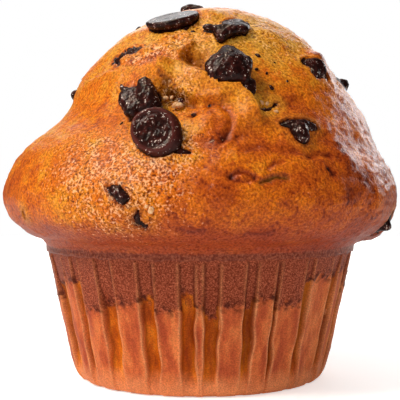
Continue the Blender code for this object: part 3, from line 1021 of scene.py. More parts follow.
@dataclass
class Chips:
    """Every chocolate chip, each one piece on its own solid."""

    solids: list[ChipSolid]
    form: CrownForm
    around: int = 40
    rings: int = 30
    fused: float = 0.17 * MM
    drop: tuple[tuple[float, float], ...] = (
        (0.0, 1.0),
        (0.14, 0.985),
        (0.27, 0.9),
        (0.38, 0.75),
        (0.52, 0.57),
        (0.75, 0.41),
        (0.93, 0.27),
        (1.0, 0.14),
        (0.96, 0.03),
        (0.85, 0.0),
        (0.0, 0.0),
    )
    button: tuple[tuple[float, float], ...] = (
        (0.0, 1.0),
        (0.3, 0.9),
        (0.6, 0.74),
        (0.85, 0.58),
        (0.96, 0.44),
        (0.98, 0.34),
        (0.95, 0.2),
        (0.9, 0.08),
        (0.85, -0.02),
        (0.79, -0.04),
        (0.74, 0.0),
        (0.7, 0.05),
        (0.62, 0.05),
        (0.5, 0.04),
        (0.4, 0.06),
        (0.3, 0.05),
        (0.2, 0.07),
        (0.0, 0.09),
    )
    coin: tuple[tuple[float, float], ...] = (
        (0.0, 1.0),
        (0.3, 0.9),
        (0.55, 0.72),
        (0.85, 0.55),
        (0.98, 0.35),
        (1.0, 0.14),
        (0.96, 0.03),
        (0.9, 0.0),
        (0.8, 0.02),
        (0.0, 0.03),
    )
    melted: tuple[tuple[float, float], ...] = (
        (0.0, 0.95),
        (0.35, 0.9),
        (0.62, 0.7),
        (0.85, 0.48),
        (1.0, 0.25),
        (0.95, 0.05),
        (0.0, 0.0),
    )

    def outline(self, form: ChipForm) -> tuple[tuple[float, float], ...]:
        """The side of a chip of this form, from its tip to its base, in shares of its radius and height."""
        return {
            ChipForm.DROP: self.drop,
            ChipForm.BUTTON: self.button,
            ChipForm.COIN: self.coin,
            ChipForm.MELTED: self.melted,
        }[form]

    def fuse(self, number: int, chip: ChipSolid) -> bpy.types.Mesh:
        """Models a chip of one or more lumps that run into each other, each drawn tight over its knobs.

        Args:
            number: Which chip it is, so that no two are alike.
            chip: Its solid, with its lumps.

        Returns:
            The chip's mesh, in place.
        """
        bm = bmesh.new()
        for knobs in chip.lumps:
            lump = bmesh.new()
            for knob in knobs:
                made = bmesh.ops.create_icosphere(lump, subdivisions=3, radius=knob.radius * MM)["verts"]
                bmesh.ops.translate(lump, vec=knob.middle(chip, self.form), verts=made)
            hull = bmesh.ops.convex_hull(lump, input=lump.verts)
            spare = {item for key in ("geom_interior", "geom_unused") for item in hull[key]}
            inside = [item for item in spare if isinstance(item, bmesh.types.BMVert)]
            bmesh.ops.delete(lump, geom=inside, context="VERTS")
            bm.from_mesh(mesh_from(lump, "lump"))
        rough = bpy.data.objects.new("lumps", mesh_from(bm, "lumps"))
        bpy.context.scene.collection.objects.link(rough)
        fused = rough.modifiers.new("Fused", "REMESH")
        fused.mode = "VOXEL"
        fused.voxel_size = self.fused
        softened = rough.modifiers.new("Softened", "SMOOTH")
        softened.iterations = round(6.5 * chip.radius / MM)
        graph = bpy.context.evaluated_depsgraph_get()
        mesh = bpy.data.meshes.new_from_object(rough.evaluated_get(graph))
        bpy.data.objects.remove(rough, do_unlink=True)
        local = places_of(mesh)
        top = chip.middle[2] + chip.flat_at * MM + 0.32 * (local[:, 1] - chip.middle[1])
        local[:, 2] = np.minimum(local[:, 2], top)
        shift = 7.0 * number
        lumpy = 0.22 * MM * roughen(local, 1.9 * MM, 2, shift=shift)
        grainy = 0.11 * MM * roughen(local, 0.85 * MM, 2, shift=shift)
        move_points(mesh, local + normals_of(mesh) * (lumpy + grainy)[:, None])
        return mesh

    def build(self, number: int, chip: ChipSolid) -> bpy.types.Mesh:
        """Models one turned chip.

        Args:
            number: Which chip it is, so that no two are alike.
            chip: Its solid.

        Returns:
            The chip's mesh, in place.
        """
        bm = bmesh.new()
        bmesh.ops.create_uvsphere(bm, u_segments=self.around, v_segments=self.rings, radius=1.0)
        mesh = mesh_from(bm, chip.node)
        ball = places_of(mesh)
        side = smooth_curve(list(self.outline(chip.form)), 6)
        side[:, 0] = np.maximum(side[:, 0], 0.0)
        side *= (chip.radius, chip.tall)
        marks = np.concatenate([[0.0], np.cumsum(np.linalg.norm(np.diff(side, axis=0), axis=1))])
        down = np.arccos(np.clip(ball[:, 2], -1.0, 1.0)) / math.pi * marks[-1]
        turn = np.arctan2(ball[:, 1], ball[:, 0])
        radius, height = np.interp(down, marks, side[:, 0]), np.interp(down, marks, side[:, 1])
        uneven = 1.0 + 0.045 * np.sin(2 * turn + number) + 0.025 * np.sin(3 * turn + 2.3 * number)
        local = np.column_stack([np.cos(turn) * radius * uneven, np.sin(turn) * radius * uneven, height])
        shift = 7.0 * number
        slump = 0.06 if chip.form is ChipForm.MELTED else 0.04
        grown = local + (chip.radius * slump) * roughen(local, chip.radius * 0.8, 2, shift=shift)[:, None] * ball
        local = grown + 0.1 * MM * roughen(local, 0.8 * MM, 2, shift=shift)[:, None] * ball
        if chip.form is ChipForm.BUTTON:
            local[:, 2] += 0.16 * MM * roughen(local, 0.7 * MM, 3, shift=shift + 2.0)
        frame = Vector(chip.axis).to_track_quat("Z", "Y").to_matrix()
        slide = np.array([chip.slide[0], 0.0, chip.slide[1]]) * MM
        slid = (1.0 - ease(height, 0.05 * chip.tall, 0.55 * chip.tall))[:, None] * slide
        move_points(mesh, local @ np.array(frame).T + chip.base + slid)
        if chip.form is ChipForm.BUTTON:
            # A lighter, redder ring painted round the rim of the flat face
            paint(mesh, "rim", bell(radius / chip.radius - 0.84, 0.09) * (height < 0.3 * chip.tall))
        return mesh

    def model(self) -> None:
        """Models every chip, so that the crust can be shaped round them."""
        for number, chip in enumerate(self.solids, start=1):
            chip.mesh = self.fuse(number, chip) if chip.lumps else self.build(number, chip)

    def dress(self, chocolate: bpy.types.Material) -> None:
        """Puts every chip out in chocolate and lets it stand for its solid."""
        for chip in self.solids:
            piece = add_piece(f"chocolate_{chip.node}", chip.mesh, chocolate)
            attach(piece, BODY)
            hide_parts(chip.node)
        log.info("chips: %d pieces", len(self.solids))


# ---------------------------------------------------------------------------------------------
# The cake
# ---------------------------------------------------------------------------------------------


@dataclass
class Cake:
    """The cake: a finely modelled crown over a plain cup that the case hides."""

    form: CrownForm
    chips: list[ChipSolid]
    top_cells: int = 132
    top_reach: float = 23.0 * MM
    side_rows: int = 146
    front_focus: float = 0.36

    def sheet(self) -> bpy.types.Mesh:
        """A square net for the top with skirts of rows below it, closed at the foot.

        A point's x and y say where in the square it lies, and -z says which row it is in.
        """
        bm = bmesh.new()
        bmesh.ops.create_grid(bm, x_segments=self.top_cells, y_segments=self.top_cells, size=1.0)
        edges = [edge for edge in bm.edges if edge.is_boundary]
        for _ in range(self.side_rows + len(self.form.cup)):
            made = bmesh.ops.extrude_edge_only(bm, edges=edges)["geom"]
            verts = {element for element in made if isinstance(element, bmesh.types.BMVert)}
            edges = [
                element
                for element in made
                if isinstance(element, bmesh.types.BMEdge) and verts.issuperset(element.verts)
            ]
            bmesh.ops.translate(bm, verts=list(verts), vec=(0.0, 0.0, -1.0))
        bmesh.ops.contextual_create(bm, geom=edges)
        return mesh_from(bm, "cake")

    def wrap(self, mesh: bpy.types.Mesh) -> tuple[np.ndarray, np.ndarray]:
        """Wraps the net round the turned cake.

        Args:
            mesh: The net.

        Returns:
            How far down the side each point lies, and the way the surface faces there.
        """
        net = places_of(mesh)
        across, along, row = net[:, 0], net[:, 1], np.rint(-net[:, 2]).astype(int)
        square = np.maximum(np.abs(across), np.abs(along))
        with np.errstate(divide="ignore", invalid="ignore"):
            wide = np.where(across >= 0, 0.0, math.pi) + math.pi / 4 * along / across
            tall = np.where(along >= 0, math.pi / 2, 3 * math.pi / 2) - math.pi / 4 * across / along
        turn = np.nan_to_num(np.where(np.abs(across) >= np.abs(along), wide, tall))
        turn -= self.front_focus * np.sin(turn + math.pi / 2)
        neck = self.form.crown_lengths()[-1]
        _, marks = self.form.whole_side()
        crown_rows = self.top_reach + (neck - self.top_reach) * np.arange(self.side_rows + 1) / self.side_rows
        rows = np.concatenate([crown_rows, marks[-len(self.form.cup) :]])
        lengths = np.where(row == 0, square * self.top_reach, rows[row])
        places, outward = self.form.places(np.column_stack([np.cos(turn), np.sin(turn)]), lengths)
        move_points(mesh, places)
        return lengths, outward

    def bake(self, places: np.ndarray, crust: Crust) -> np.ndarray:
        """How brown the crust is at each point: paler on top, browner down the flanks and to the right."""
        height = places[:, 2] / MM
        azimuth = np.degrees(np.arctan2(places[:, 0], -places[:, 1]))
        tone = 0.28 + 0.12 * (1.0 - ease(height, 40.0, 58.0))
        # Browner on the right flank: the crust's own browning there, and painted shade on the side away from the key
        # light
        tone += 0.22 * ease(azimuth, 0.0, 50.0) * (1.0 - ease(azimuth, 120.0, 170.0)) * (1.0 - ease(height, 52.0, 66.0))
        tone += 0.08 * (1.0 - ease(height, 29.0, 36.0))
        tone += 0.12 * roughen(places, 9.0 * MM, 2, shift=11.0)
        return tone + crust.brown - 0.10 * ease(height, 60.0, 66.0)

    def build(self) -> bpy.types.Mesh:
        """Models the cake.

        Returns:
            The cake's mesh, with the layers that its material reads.
        """
        mesh = self.sheet()
        lengths, outward = self.wrap(mesh)
        places = places_of(mesh)
        neck = self.form.crown_lengths()[-1]
        free = 1.0 - ease(lengths, neck - 3.0 * MM, neck - 0.6 * MM)
        zeros = [np.zeros(len(places)) for _ in range(6)]
        crust = Crust(places, outward, *zeros)
        for lump in LUMPS:
            crust.swell(lump, self.form)
        for fold in FOLDS:
            crust.crease(fold, self.form)
        crust.push += 0.28 * MM * roughen(places, 9.0 * MM, 2, shift=5.0)
        crust.push += 0.2 * MM * roughen(places, 3.4 * MM, 2, shift=1.0)
        for chip in self.chips:
            crust.meet(chip)
        azimuth = np.degrees(np.arctan2(places[:, 0], -places[:, 1]))
        hem_start = self.form.crown_lengths()[-2]
        hang = ease(lengths, hem_start, neck) * (places[:, 2] > self.form.cup[0][1] * MM)
        places[:, 2] += 0.45 * MM * hang * roughen(places, 2.2 * MM, 2, (1, 1, 4), 12.0)
        move_points(mesh, places + outward * (crust.push * free)[:, None])
        finer = 0.09 * roughen(places, 1.1 * MM, 2, shift=2.0)
        wrinkled = ease(azimuth, 10.0, 45.0) * (1.0 - ease(azimuth, 110.0, 140.0))
        finer += 0.18 * wrinkled * roughen(places, 1.5 * MM, 2, (2.2, 2.2, 0.8), 9.0)
        crumbling = bell(np.linalg.norm(places - self.form.at([(-15.0, 54.4)])[0], axis=1), 2.9 * MM)
        crumbling += 0.7 * bell(np.linalg.norm(places - self.form.at([(-7.0, 48.8)])[0], axis=1), 2.2 * MM)
        finer += 0.4 * crumbling * roughen(places, 0.9 * MM, 2, shift=4.0)
        move_points(mesh, places_of(mesh) + normals_of(mesh) * (finer * MM * free)[:, None])
        # Painted shade under the lip's overhang: a darker, redder brown below the widest part
        under = (1.0 - ease(places[:, 2] / MM + 0.6 * roughen(places, 5 * MM, 2, shift=8.0), 29.0, 34.0)) * 0.8
        rim = self.form.hem[0][1] + 0.35 * roughen(places, 3.0 * MM, 3, (1, 1, 3), 14.0)
        band = 1.0 - ease(places[:, 2] / MM, rim - 0.55, rim - 0.25)
        paint(mesh, "bake", self.bake(places, crust))
        paint(mesh, "pale", crust.pale + crumbling * (0.4 + 0.5 * roughen(places, 0.8 * MM, 2, shift=6.0)))
        # Painted shade in hollows, pits and cracks
        paint(mesh, "painted_shade", np.clip(crust.painted_shade, 0.0, 1.0))
        # Chocolate stain and painted contact shadow by the chips
        paint(mesh, "stain_and_shade", crust.stain_and_shade)
        # Where the painted highlights gather
        paint(mesh, "painted_glint_zone", np.clip(crust.painted_glint_zone * (1.0 + 0.5 * roughen(places, 3.0 * MM, 2, shift=21.0)), 0.0, 1.0))
        paint(mesh, "under", under)
        paint(mesh, "band", band)
        return mesh

    def dress(self, crust: bpy.types.Material) -> None:
        """Builds the cake in its crust and lets it stand for its solid."""
        mesh = self.build()
        log.info("cake: %d faces", len(mesh.polygons))
        piece = add_piece("muffin_cake", mesh, crust)
        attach(piece, BODY)
        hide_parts("cake")


# ---------------------------------------------------------------------------------------------
# The paper case
# ---------------------------------------------------------------------------------------------


@dataclass(frozen=True)
class Pleat:
    """An outer facet of the pleats and the groove after it.

    Azimuths are in degrees. The heights, in millimetres, are where the crumb stops sticking to the
    facet and to the groove.
    """

    start: float
    end: float
    facet_stuck: float
    groove_stuck: float


FRONT_PLEATS = (
    Pleat(-60.5, -53.8, 20.4, 20.4),
    Pleat(-48.7, -39.8, 15.5, 17.0),
    Pleat(-32.1, -22.5, 17.4, 18.6),
    Pleat(-16.1, -7.6, 16.2, 19.2),
    Pleat(-1.3, 1.0, 17.0, 15.0),
    Pleat(7.3, 15.9, 17.0, 16.6),
    Pleat(20.6, 27.4, 18.2, 18.0),
    Pleat(29.6, 40.3, 16.8, 21.2),
    Pleat(44.9, 56.1, 21.4, 21.6),
    Pleat(62.8, 67.5, 22.0, 21.8),
)


@dataclass
class PaperCase:
    """The paper case: a thin pleated wall on a flat floor."""

    foot_radius: float = 24.9 * MM
    flare: float = 0.221
    height: float = 26.9 * MM
    corner: float = 2.6 * MM
    floor_radius: float = 23.4 * MM
    paper: float = 0.14 * MM
    line_height: float = 17.0 * MM
    pressed_height: float = 20.5 * MM
    depth_corner: float = 0.35 * MM
    depth_loose: float = 1.3 * MM
    depth_pressed: float = 0.4 * MM
    depth_rim: float = 0.18 * MM
    wall: float = 0.9
    hidden_start: float = 73.5
    hidden_end: float = 294.0
    hidden_pleats: int = 17
    hidden_share: float = 0.57
    wall_columns: int = 4
    front_column: float = 0.62
    hidden_column: float = 0.95
    corner_rows: int = 8
    wall_rows: int = 96
    inner_rows: int = 8
    pleats: list[Pleat] = field(default_factory=list)

    def __post_init__(self) -> None:
        """Adds the pleats at the back to the front ones."""
        numbers = range(self.hidden_pleats)
        widths = [1 + 0.2 * math.sin(2.4 * number) for number in numbers]
        scale = (self.hidden_end - self.hidden_start) / sum(widths)
        start = self.hidden_start
        self.pleats = list(FRONT_PLEATS)
        for number, width in zip(numbers, widths):
            stuck = 18.5 + 2.2 * math.sin(1.9 * number)
            groove_stuck = 18.8 + 2.2 * math.sin(2.7 * number + 1.0)
            self.pleats.append(Pleat(start, start + self.hidden_share * width * scale, stuck, groove_stuck))
            start += width * scale

    def layout(self) -> tuple[np.ndarray, np.ndarray]:
        """Shares the columns out over the folds, so that every fold line has one of its own.

        Returns:
            The column that each fold line has, and the azimuth of each: four lines a pleat, which are
            where its facet's wall rises, the facet's two edges, and where the wall ends.
        """
        lines, counts = [], []
        nexts = [pleat.start for pleat in self.pleats[1:]] + [self.pleats[0].start + 360.0]
        for pleat, following in zip(self.pleats, nexts):
            hidden = self.hidden_start <= pleat.start
            column = self.hidden_column if hidden else self.front_column
            edges = [pleat.start - self.wall, pleat.start, pleat.end, pleat.end + self.wall]
            lines += edges
            across = max(3, round((pleat.end - pleat.start) / column))
            between = max(3, round((following - self.wall - edges[-1]) / column))
            counts += [self.wall_columns, across, self.wall_columns, between]
        return np.concatenate([[0], np.cumsum(counts)]), np.array([*lines, lines[0] + 360.0])

    def net(self, columns: int) -> bpy.types.Mesh:
        """A ring of columns in rows, closed by a floor at both ends. A point's z says which row it is in."""
        bm = bmesh.new()
        bmesh.ops.create_circle(bm, cap_ends=True, segments=columns, radius=1.0)
        edges = list(bm.edges)
        for _ in range(self.corner_rows + self.wall_rows + self.inner_rows):
            made = bmesh.ops.extrude_edge_only(bm, edges=edges)["geom"]
            verts = {element for element in made if isinstance(element, bmesh.types.BMVert)}
            edges = [
                element
                for element in made
                if isinstance(element, bmesh.types.BMEdge) and verts.issuperset(element.verts)
            ]
            bmesh.ops.translate(bm, verts=list(verts), vec=(0.0, 0.0, 1.0))
        bmesh.ops.contextual_create(bm, geom=edges)
        return mesh_from(bm, "paper_case")

    def levels(self) -> tuple[np.ndarray, np.ndarray, np.ndarray]:
        """Each row's height, how far it is pulled in at the rounded corner, and how far it lies inside."""
        turn = np.linspace(0.0, math.pi / 2, self.corner_rows + 1)
        low = self.corner * (1.0 - np.cos(turn))
        pulled = (self.foot_radius - self.floor_radius) * (1.0 - np.sin(turn))
        wall = np.linspace(self.corner, self.height, self.wall_rows + 1)[1:]
        inner = np.linspace(self.height - 0.05 * MM, 0.5 * MM, self.inner_rows)
        inset = np.linspace(self.paper, 1.2 * MM, self.inner_rows)
        return (
            np.concatenate([low, wall, inner]),
            np.concatenate([pulled, np.zeros(self.wall_rows + self.inner_rows)]),
            np.concatenate([np.zeros(len(low) + self.wall_rows), inset]),
        )

    def depth(self, height: np.ndarray) -> np.ndarray:
        """How far the grooves lie behind the facets at a height."""
        loose = self.depth_corner + (self.depth_loose - self.depth_corner) * ease(
            height, 0.5 * MM, 0.55 * self.line_height
        )
        pressed = ease(height, self.line_height, self.pressed_height)
        return loose + (self.depth_pressed - loose) * pressed + (self.depth_rim - self.depth_pressed) * ease(
            height, self.pressed_height, self.height
        )

    def fold_lines(self, tall: np.ndarray, lines: np.ndarray) -> np.ndarray:
        """Where each fold line runs at each row, because loose paper wanders and stuck paper doesn't."""
        loose = 1.0 - ease(tall, 14.0, 19.0)
        turns = np.arange(len(lines)) % (len(lines) - 1)
        pleat, edge = turns // 4, turns % 4
        swing = np.where(edge < 2, 1.0, -0.6)
        phase = 1.7 * pleat
        slow = 0.45 * np.sin(tall[:, None] / 2.6 + phase[None, :])
        quick = 0.3 * np.sin(tall[:, None] / 1.1 + 1.7 * phase[None, :])
        return lines[None, :] + loose[:, None] * swing[None, :] * (slow + quick)

    def build(self) -> bpy.types.Mesh:
        """Models the case.

        Returns:
            The case's mesh, with the layers that its material reads.
        """
        knots, lines = self.layout()
        columns = int(knots[-1])
        mesh = self.net(columns)
        net = places_of(mesh)
        row = np.rint(net[:, 2]).astype(int)
        column = np.rint(np.arctan2(net[:, 1], net[:, 0]) / (2 * math.pi) * columns).astype(int) % columns
        row_heights, row_pulled, row_inset = self.levels()
        heights, pulled, inset = row_heights[row], row_pulled[row], row_inset[row]
        tall = heights / MM
        wander = self.fold_lines(row_heights / MM, lines)
        azimuths = np.array([np.interp(np.arange(columns), knots, line) for line in wander])
        azimuth = azimuths[row, column]
        facets = np.tile([0.0, 1.0, 1.0, 0.0], len(self.pleats))
        facet = np.interp(column, knots, np.append(facets, 0.0))
        facet = facet * facet * (3 - 2 * facet)
        stretch = np.searchsorted(knots, column, side="right") - 1
        pleat, part = stretch // 4, stretch % 4
        share = (column - knots[stretch]) / np.diff(knots)[stretch]
        line_gap = np.abs(azimuth[:, None] - wander[row][:, : len(lines)]).reshape(len(net), -1)
        edge = np.arange(len(lines)) % 4
        crest = bell(line_gap[:, (edge == 1) | (edge == 2)].min(axis=1), 0.5)
        corner = bell(line_gap[:, (edge == 0) | (edge == 3)].min(axis=1), 0.38)
        bulge = np.where(part == 1, np.sin(math.pi * share) * 0.30 * np.sin(1.3 * pleat + 0.5), 0.0)
        sag = np.where(part == 3, np.sin(math.pi * share) * 0.35, 0.0)
        facet_stuck = np.array([pleat.facet_stuck for pleat in self.pleats])
        groove_stuck = np.array([pleat.groove_stuck for pleat in self.pleats])
        stuck_from = np.where(part == 3, groove_stuck[pleat], facet_stuck[pleat])
        angle = np.radians(azimuth)
        heading = np.column_stack([np.sin(angle), -np.cos(angle)])
        plain = self.foot_radius + self.flare * heights
        skin = np.column_stack([heading * plain[:, None], heights])
        ragged = 0.9 * roughen(skin, 1.8 * MM, 2, shift=2.0) + 0.9 * roughen(skin, 0.7 * MM, 1, shift=12.0)
        stuck = ease(tall + ragged, stuck_from - 0.5, stuck_from + 0.4)
        crumble = roughen(skin, 0.8 * MM, 2, shift=6.0)
        fringe = 0.85 * bell(tall - stuck_from - 0.2, 1.2) * ease(crumble, 0.02, 0.3)
        outer = (inset == 0.0).astype(float)
        loose = (1.0 - stuck) * ease(tall, 1.5, 6.0)
        radius = plain - pulled - self.depth(heights) * (1.0 - facet) - inset
        radius += outer * (bulge - sag) * MM * loose
        radius += outer * 0.13 * MM * crest * ease(tall, 1.5, 5.0) * (1.0 - ease(tall, 25.0, 25.7))
        radius += outer * 0.14 * MM * roughen(skin, 3.2 * MM, 2, (1, 1, 2.2), 5.0) * ease(tall, 0.4, 3.0)
        radius += outer * 0.05 * MM * roughen(skin, 1.1 * MM, 2, (1, 1, 1.5), 15.0) * loose
        radius += outer * stuck * 0.05 * MM * roughen(skin, 0.7 * MM, 2, shift=7.0)
        radius += outer * fringe * 0.16 * MM
        move_points(mesh, np.column_stack([heading * radius[:, None], heights]))
        # Painted light: a paler band at the foot of the wall, for light bounced up off the floor
        foot = (1.0 - ease(tall + 1.2 * roughen(skin, 3 * MM, 2, shift=1.0), 1.0, 5.0)) * 0.7
        rimmed = 1.0 - ease(tall, 24.6, 25.4)
        paint(mesh, "stuck", stuck)
        paint(mesh, "groove", (1.0 - facet) * ease(tall, 1.5, 5.0))
        # Painted highlight: a paler line along each facet's edges, fainter where crumb has stuck
        patchy = 0.75 + 0.45 * roughen(skin, 1.6 * MM, 2, (1, 1, 2.5), 17.0)
        paint(mesh, "crease", crest * patchy * (0.85 - 0.5 * stuck) * rimmed * ease(tall, 1.0, 4.0))
        # Painted shade: dark lines at the foot of each wall, and the grooves on the right darkened
        right_groove_shade = (1.0 - facet) * ease(azimuth, -12.0, 25.0) * 0.45 * (1.0 - stuck)
        painted_groove_shade = np.maximum(corner * (0.35 + 0.25 * stuck), right_groove_shade)
        paint(mesh, "corner", painted_groove_shade * rimmed * ease(tall, 3.0, 7.0))
        paint(mesh, "foot", foot)
        paint(mesh, "crumb", fringe)
        return mesh

    def dress(self, paper: bpy.types.Material) -> None:
        """Builds the case in its paper and lets it stand for its solid."""
        mesh = self.build()
        log.info("case: %d faces", len(mesh.polygons))
        piece = add_piece("pleated_paper_case", mesh, paper)
        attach(piece, BODY)
        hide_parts("paper_case")


# ---------------------------------------------------------------------------------------------
# Small bits baked into the crust
# ---------------------------------------------------------------------------------------------


@dataclass(frozen=True)
class Bit:
    """A fleck of chocolate or a crumb on the crust: its spot and how wide it is, in mm."""

    azimuth: float
    height: float
    width: float


FLECKS = (
    Bit(-79, 66.3, 1.5),
    Bit(-73, 69.2, 1.2),
    Bit(-17, 67.6, 1.3),
    Bit(-12, 67.0, 0.8),
    Bit(21, 62.3, 1.0),
    Bit(22, 58.9, 0.6),
    Bit(18, 59.6, 0.6),
    Bit(22, 56.1, 0.9),
    Bit(-1.5, 52.6, 1.6),
    Bit(-6.5, 51.0, 0.9),
    Bit(-37.5, 56.4, 1.5),
    Bit(36, 41.4, 0.8),
    Bit(-14, 55.4, 1.0),
    Bit(-12, 53.7, 1.1),
    Bit(-17, 56.0, 0.8),
    Bit(-52.5, 61.2, 1.3),
    Bit(28, 61.0, 0.5),
    Bit(30, 57.5, 0.5),
    Bit(-36, 65.2, 0.7),
    Bit(15, 57.0, 0.7),
    Bit(-30, 49.6, 0.7),
    Bit(14, 48.8, 0.6),
)


CRUMBS = (
    Bit(-22.0, 56.8, 1.0),
    Bit(-19.8, 57.2, 0.9),
    Bit(-17.2, 55.6, 0.8),
    Bit(-17.6, 54.2, 0.9),
    Bit(-14.4, 55.8, 0.8),
    Bit(-13.6, 52.9, 1.2),
    Bit(-12.2, 52.8, 1.2),
    Bit(-10.2, 54.9, 0.7),
    Bit(-15.4, 54.3, 0.7),
    Bit(-6.8, 49.6, 0.8),
    Bit(-5.6, 47.6, 0.7),
    Bit(-8.4, 47.9, 0.6),
    Bit(-4.4, 50.6, 0.7),
    Bit(17.0, 53.4, 0.8),
    Bit(19.0, 53.2, 0.7),
    Bit(21.5, 51.8, 0.7),
    Bit(-41.0, 61.6, 0.9),
    Bit(-12.2, 34.7, 1.2),
    Bit(-13.4, 35.3, 0.7),
)


@dataclass
class Scatter:
    """Small bits of one kind, joined into one piece."""

    name: str
    form: CrownForm
    bits: list[Bit]
    sink: float = 0.06

    def build(self) -> bpy.types.Mesh:
        """Models the bits as small uneven lumps set into the crust.

        Returns:
            The joined mesh.
        """
        bm = bmesh.new()
        for number, bit in enumerate(self.bits):
            place, facing = self.form.at([(bit.azimuth, bit.height)])
            made = bmesh.ops.create_icosphere(bm, subdivisions=2, radius=bit.width * MM / 2)["verts"]
            turn = Vector(facing[0]).to_track_quat("Z", "Y").to_matrix().to_4x4()
            for vert in made:
                uneven = noise.noise(vert.co / (0.45 * MM) + Vector((0, 0, 5.0 * number)))
                vert.co *= 1.0 + 0.35 * uneven
            bmesh.ops.scale(bm, vec=(1.25, 0.85, 0.7), verts=made)
            bmesh.ops.rotate(bm, matrix=Matrix.Rotation(2.1 * number, 3, "Z"), verts=made)
            where = Matrix.Translation(place[0] + facing[0] * bit.width * MM * self.sink) @ turn
            bmesh.ops.transform(bm, matrix=where, verts=made)
        return mesh_from(bm, self.name)

    def dress(self, material: bpy.types.Material, slot: str) -> None:
        """Builds the bits in their material."""
        piece = add_piece(self.name, self.build(), material)
        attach(piece, BODY)
        log.info("%s: %d bits", self.name, len(self.bits))


# ---------------------------------------------------------------------------------------------
# The studio
# ---------------------------------------------------------------------------------------------


@dataclass(frozen=True)
class Softbox:
    """A square studio light, aimed at the muffin's middle."""

    name: str
    place: tuple[float, float, float]
    size: float
    power: float
    color: str = "#ffffff"
    glints_only: bool = False


@dataclass
class Studio:
    """The plain floor, the soft lights and the camera."""

    camera_place: tuple[float, float, float] = (0.0, -0.223, 0.042)
    camera_drop: float = 1.73
    lens: float = 99.0
    aim: tuple[float, float, float] = (0.0, 0.0, 0.04)
    floor_radius: float = 0.45
    daylight_dim: float = 0.12
    daylight_bright: float = 0.55
    bright_way: tuple[float, float, float] = (-0.55, -0.1, 0.8)
    mirrored_share: float = 0.15
    lights: tuple[Softbox, ...] = (
        Softbox("key", (-0.38, -0.27, 0.55), 0.20, 3.5, "#fff6ec"),
        Softbox("left glint", (-0.48, -0.28, 0.51), 0.12, 3.3, "#ffe6c4", glints_only=True),
        Softbox("top glint", (-0.15, 0.05, 0.74), 0.12, 3.0, "#ffe6c4", glints_only=True),
        Softbox("rim", (0.40, 0.58, 0.25), 0.24, 1.6, glints_only=True),
        Softbox("backdrop", (0.05, 0.75, 0.26), 0.50, 1.9, glints_only=True),
        Softbox("back", (-0.05, 0.70, 0.50), 0.60, 1.7),
    )

    def set_camera(self) -> None:
        """A camera a little above the rim of the case, looking slightly down."""
        data = bpy.data.cameras.new("camera")
        data.lens = self.lens
        data.sensor_width = 36.0
        data.clip_start = 0.01
        camera = bpy.data.objects.new("camera", data)
        camera.location = self.camera_place
        camera.rotation_euler = (math.radians(90.0 - self.camera_drop), 0.0, 0.0)
        bpy.context.scene.collection.objects.link(camera)
        bpy.context.scene.camera = camera

    def set_lights(self) -> None:
        """The softboxes, and the even light of a white room that looks white behind the muffin."""
        for softbox in self.lights:
            data = bpy.data.lights.new(softbox.name, "AREA")
            data.size = softbox.size
            data.energy = softbox.power
            data.color = linear(softbox.color)[:3]
            lamp = bpy.data.objects.new(softbox.name, data)
            lamp.location = softbox.place
            way = Vector(self.aim) - Vector(softbox.place)
            lamp.rotation_euler = way.to_track_quat("-Z", "Y").to_euler()
            lamp.visible_camera = False
            lamp.visible_diffuse = not softbox.glints_only
            bpy.context.scene.collection.objects.link(lamp)
        world = bpy.data.worlds.new("white_room")
        world.use_nodes = True
        bpy.context.scene.world = world
        tree = world.node_tree
        background = tree.nodes["Background"]
        way = add_node(tree, "ShaderNodeTexCoord").outputs["Generated"]
        turned = add_node(tree, "ShaderNodeVectorMath", {0: way, 1: self.bright_way}, operation="DOT_PRODUCT")
        lit = add_node(
            tree,
            "ShaderNodeMapRange",
            {
                "Value": turned.outputs["Value"],
                "From Min": -1.0,
                "To Min": self.daylight_dim,
                "To Max": self.daylight_bright,
            },
        )
        seen = add_node(tree, "ShaderNodeLightPath")
        mirrored = add_node(
            tree, "ShaderNodeMapRange", {"Value": seen.outputs["Is Glossy Ray"], "To Min": 1.0, "To Max": self.mirrored_share}
        )
        toned = add_node(tree, "ShaderNodeMath", {0: lit.outputs[0], 1: mirrored.outputs[0]}, operation="MULTIPLY")
        level = add_node(
            tree,
            "ShaderNodeMapRange",
            {"Value": seen.outputs["Is Camera Ray"], "To Min": toned.outputs[0], "To Max": 1.0},
        )
        background.inputs["Color"].default_value = (1.0, 1.0, 1.0, 1.0)
        tree.links.new(level.outputs[0], background.inputs["Strength"])

    def set_floor(self, paper: bpy.types.Material) -> None:
        """The floor that the muffin stands on."""
        bm = bmesh.new()
        bmesh.ops.create_circle(bm, cap_ends=True, segments=96, radius=self.floor_radius)
        bmesh.ops.translate(bm, verts=bm.verts[:], vec=(0.0, 0.0, -0.1 * MM))
        floor = add_piece("studio_floor", mesh_from(bm, "studio_floor"), paper)

    def dress(self, paper: bpy.types.Material) -> None:
        """Sets the whole studio up."""
        self.set_camera()
        self.set_lights()
        self.set_floor(paper)
        bpy.context.scene.view_settings.view_transform = "Standard"


# ---------------------------------------------------------------------------------------------
# The muffin
# ---------------------------------------------------------------------------------------------

CHIP_FORMS = {
    "chip_02": ChipForm.COIN,
    "chip_06": ChipForm.BUTTON,
    "chip_22": ChipForm.BUTTON,
    "chip_26": ChipForm.MELTED,
}

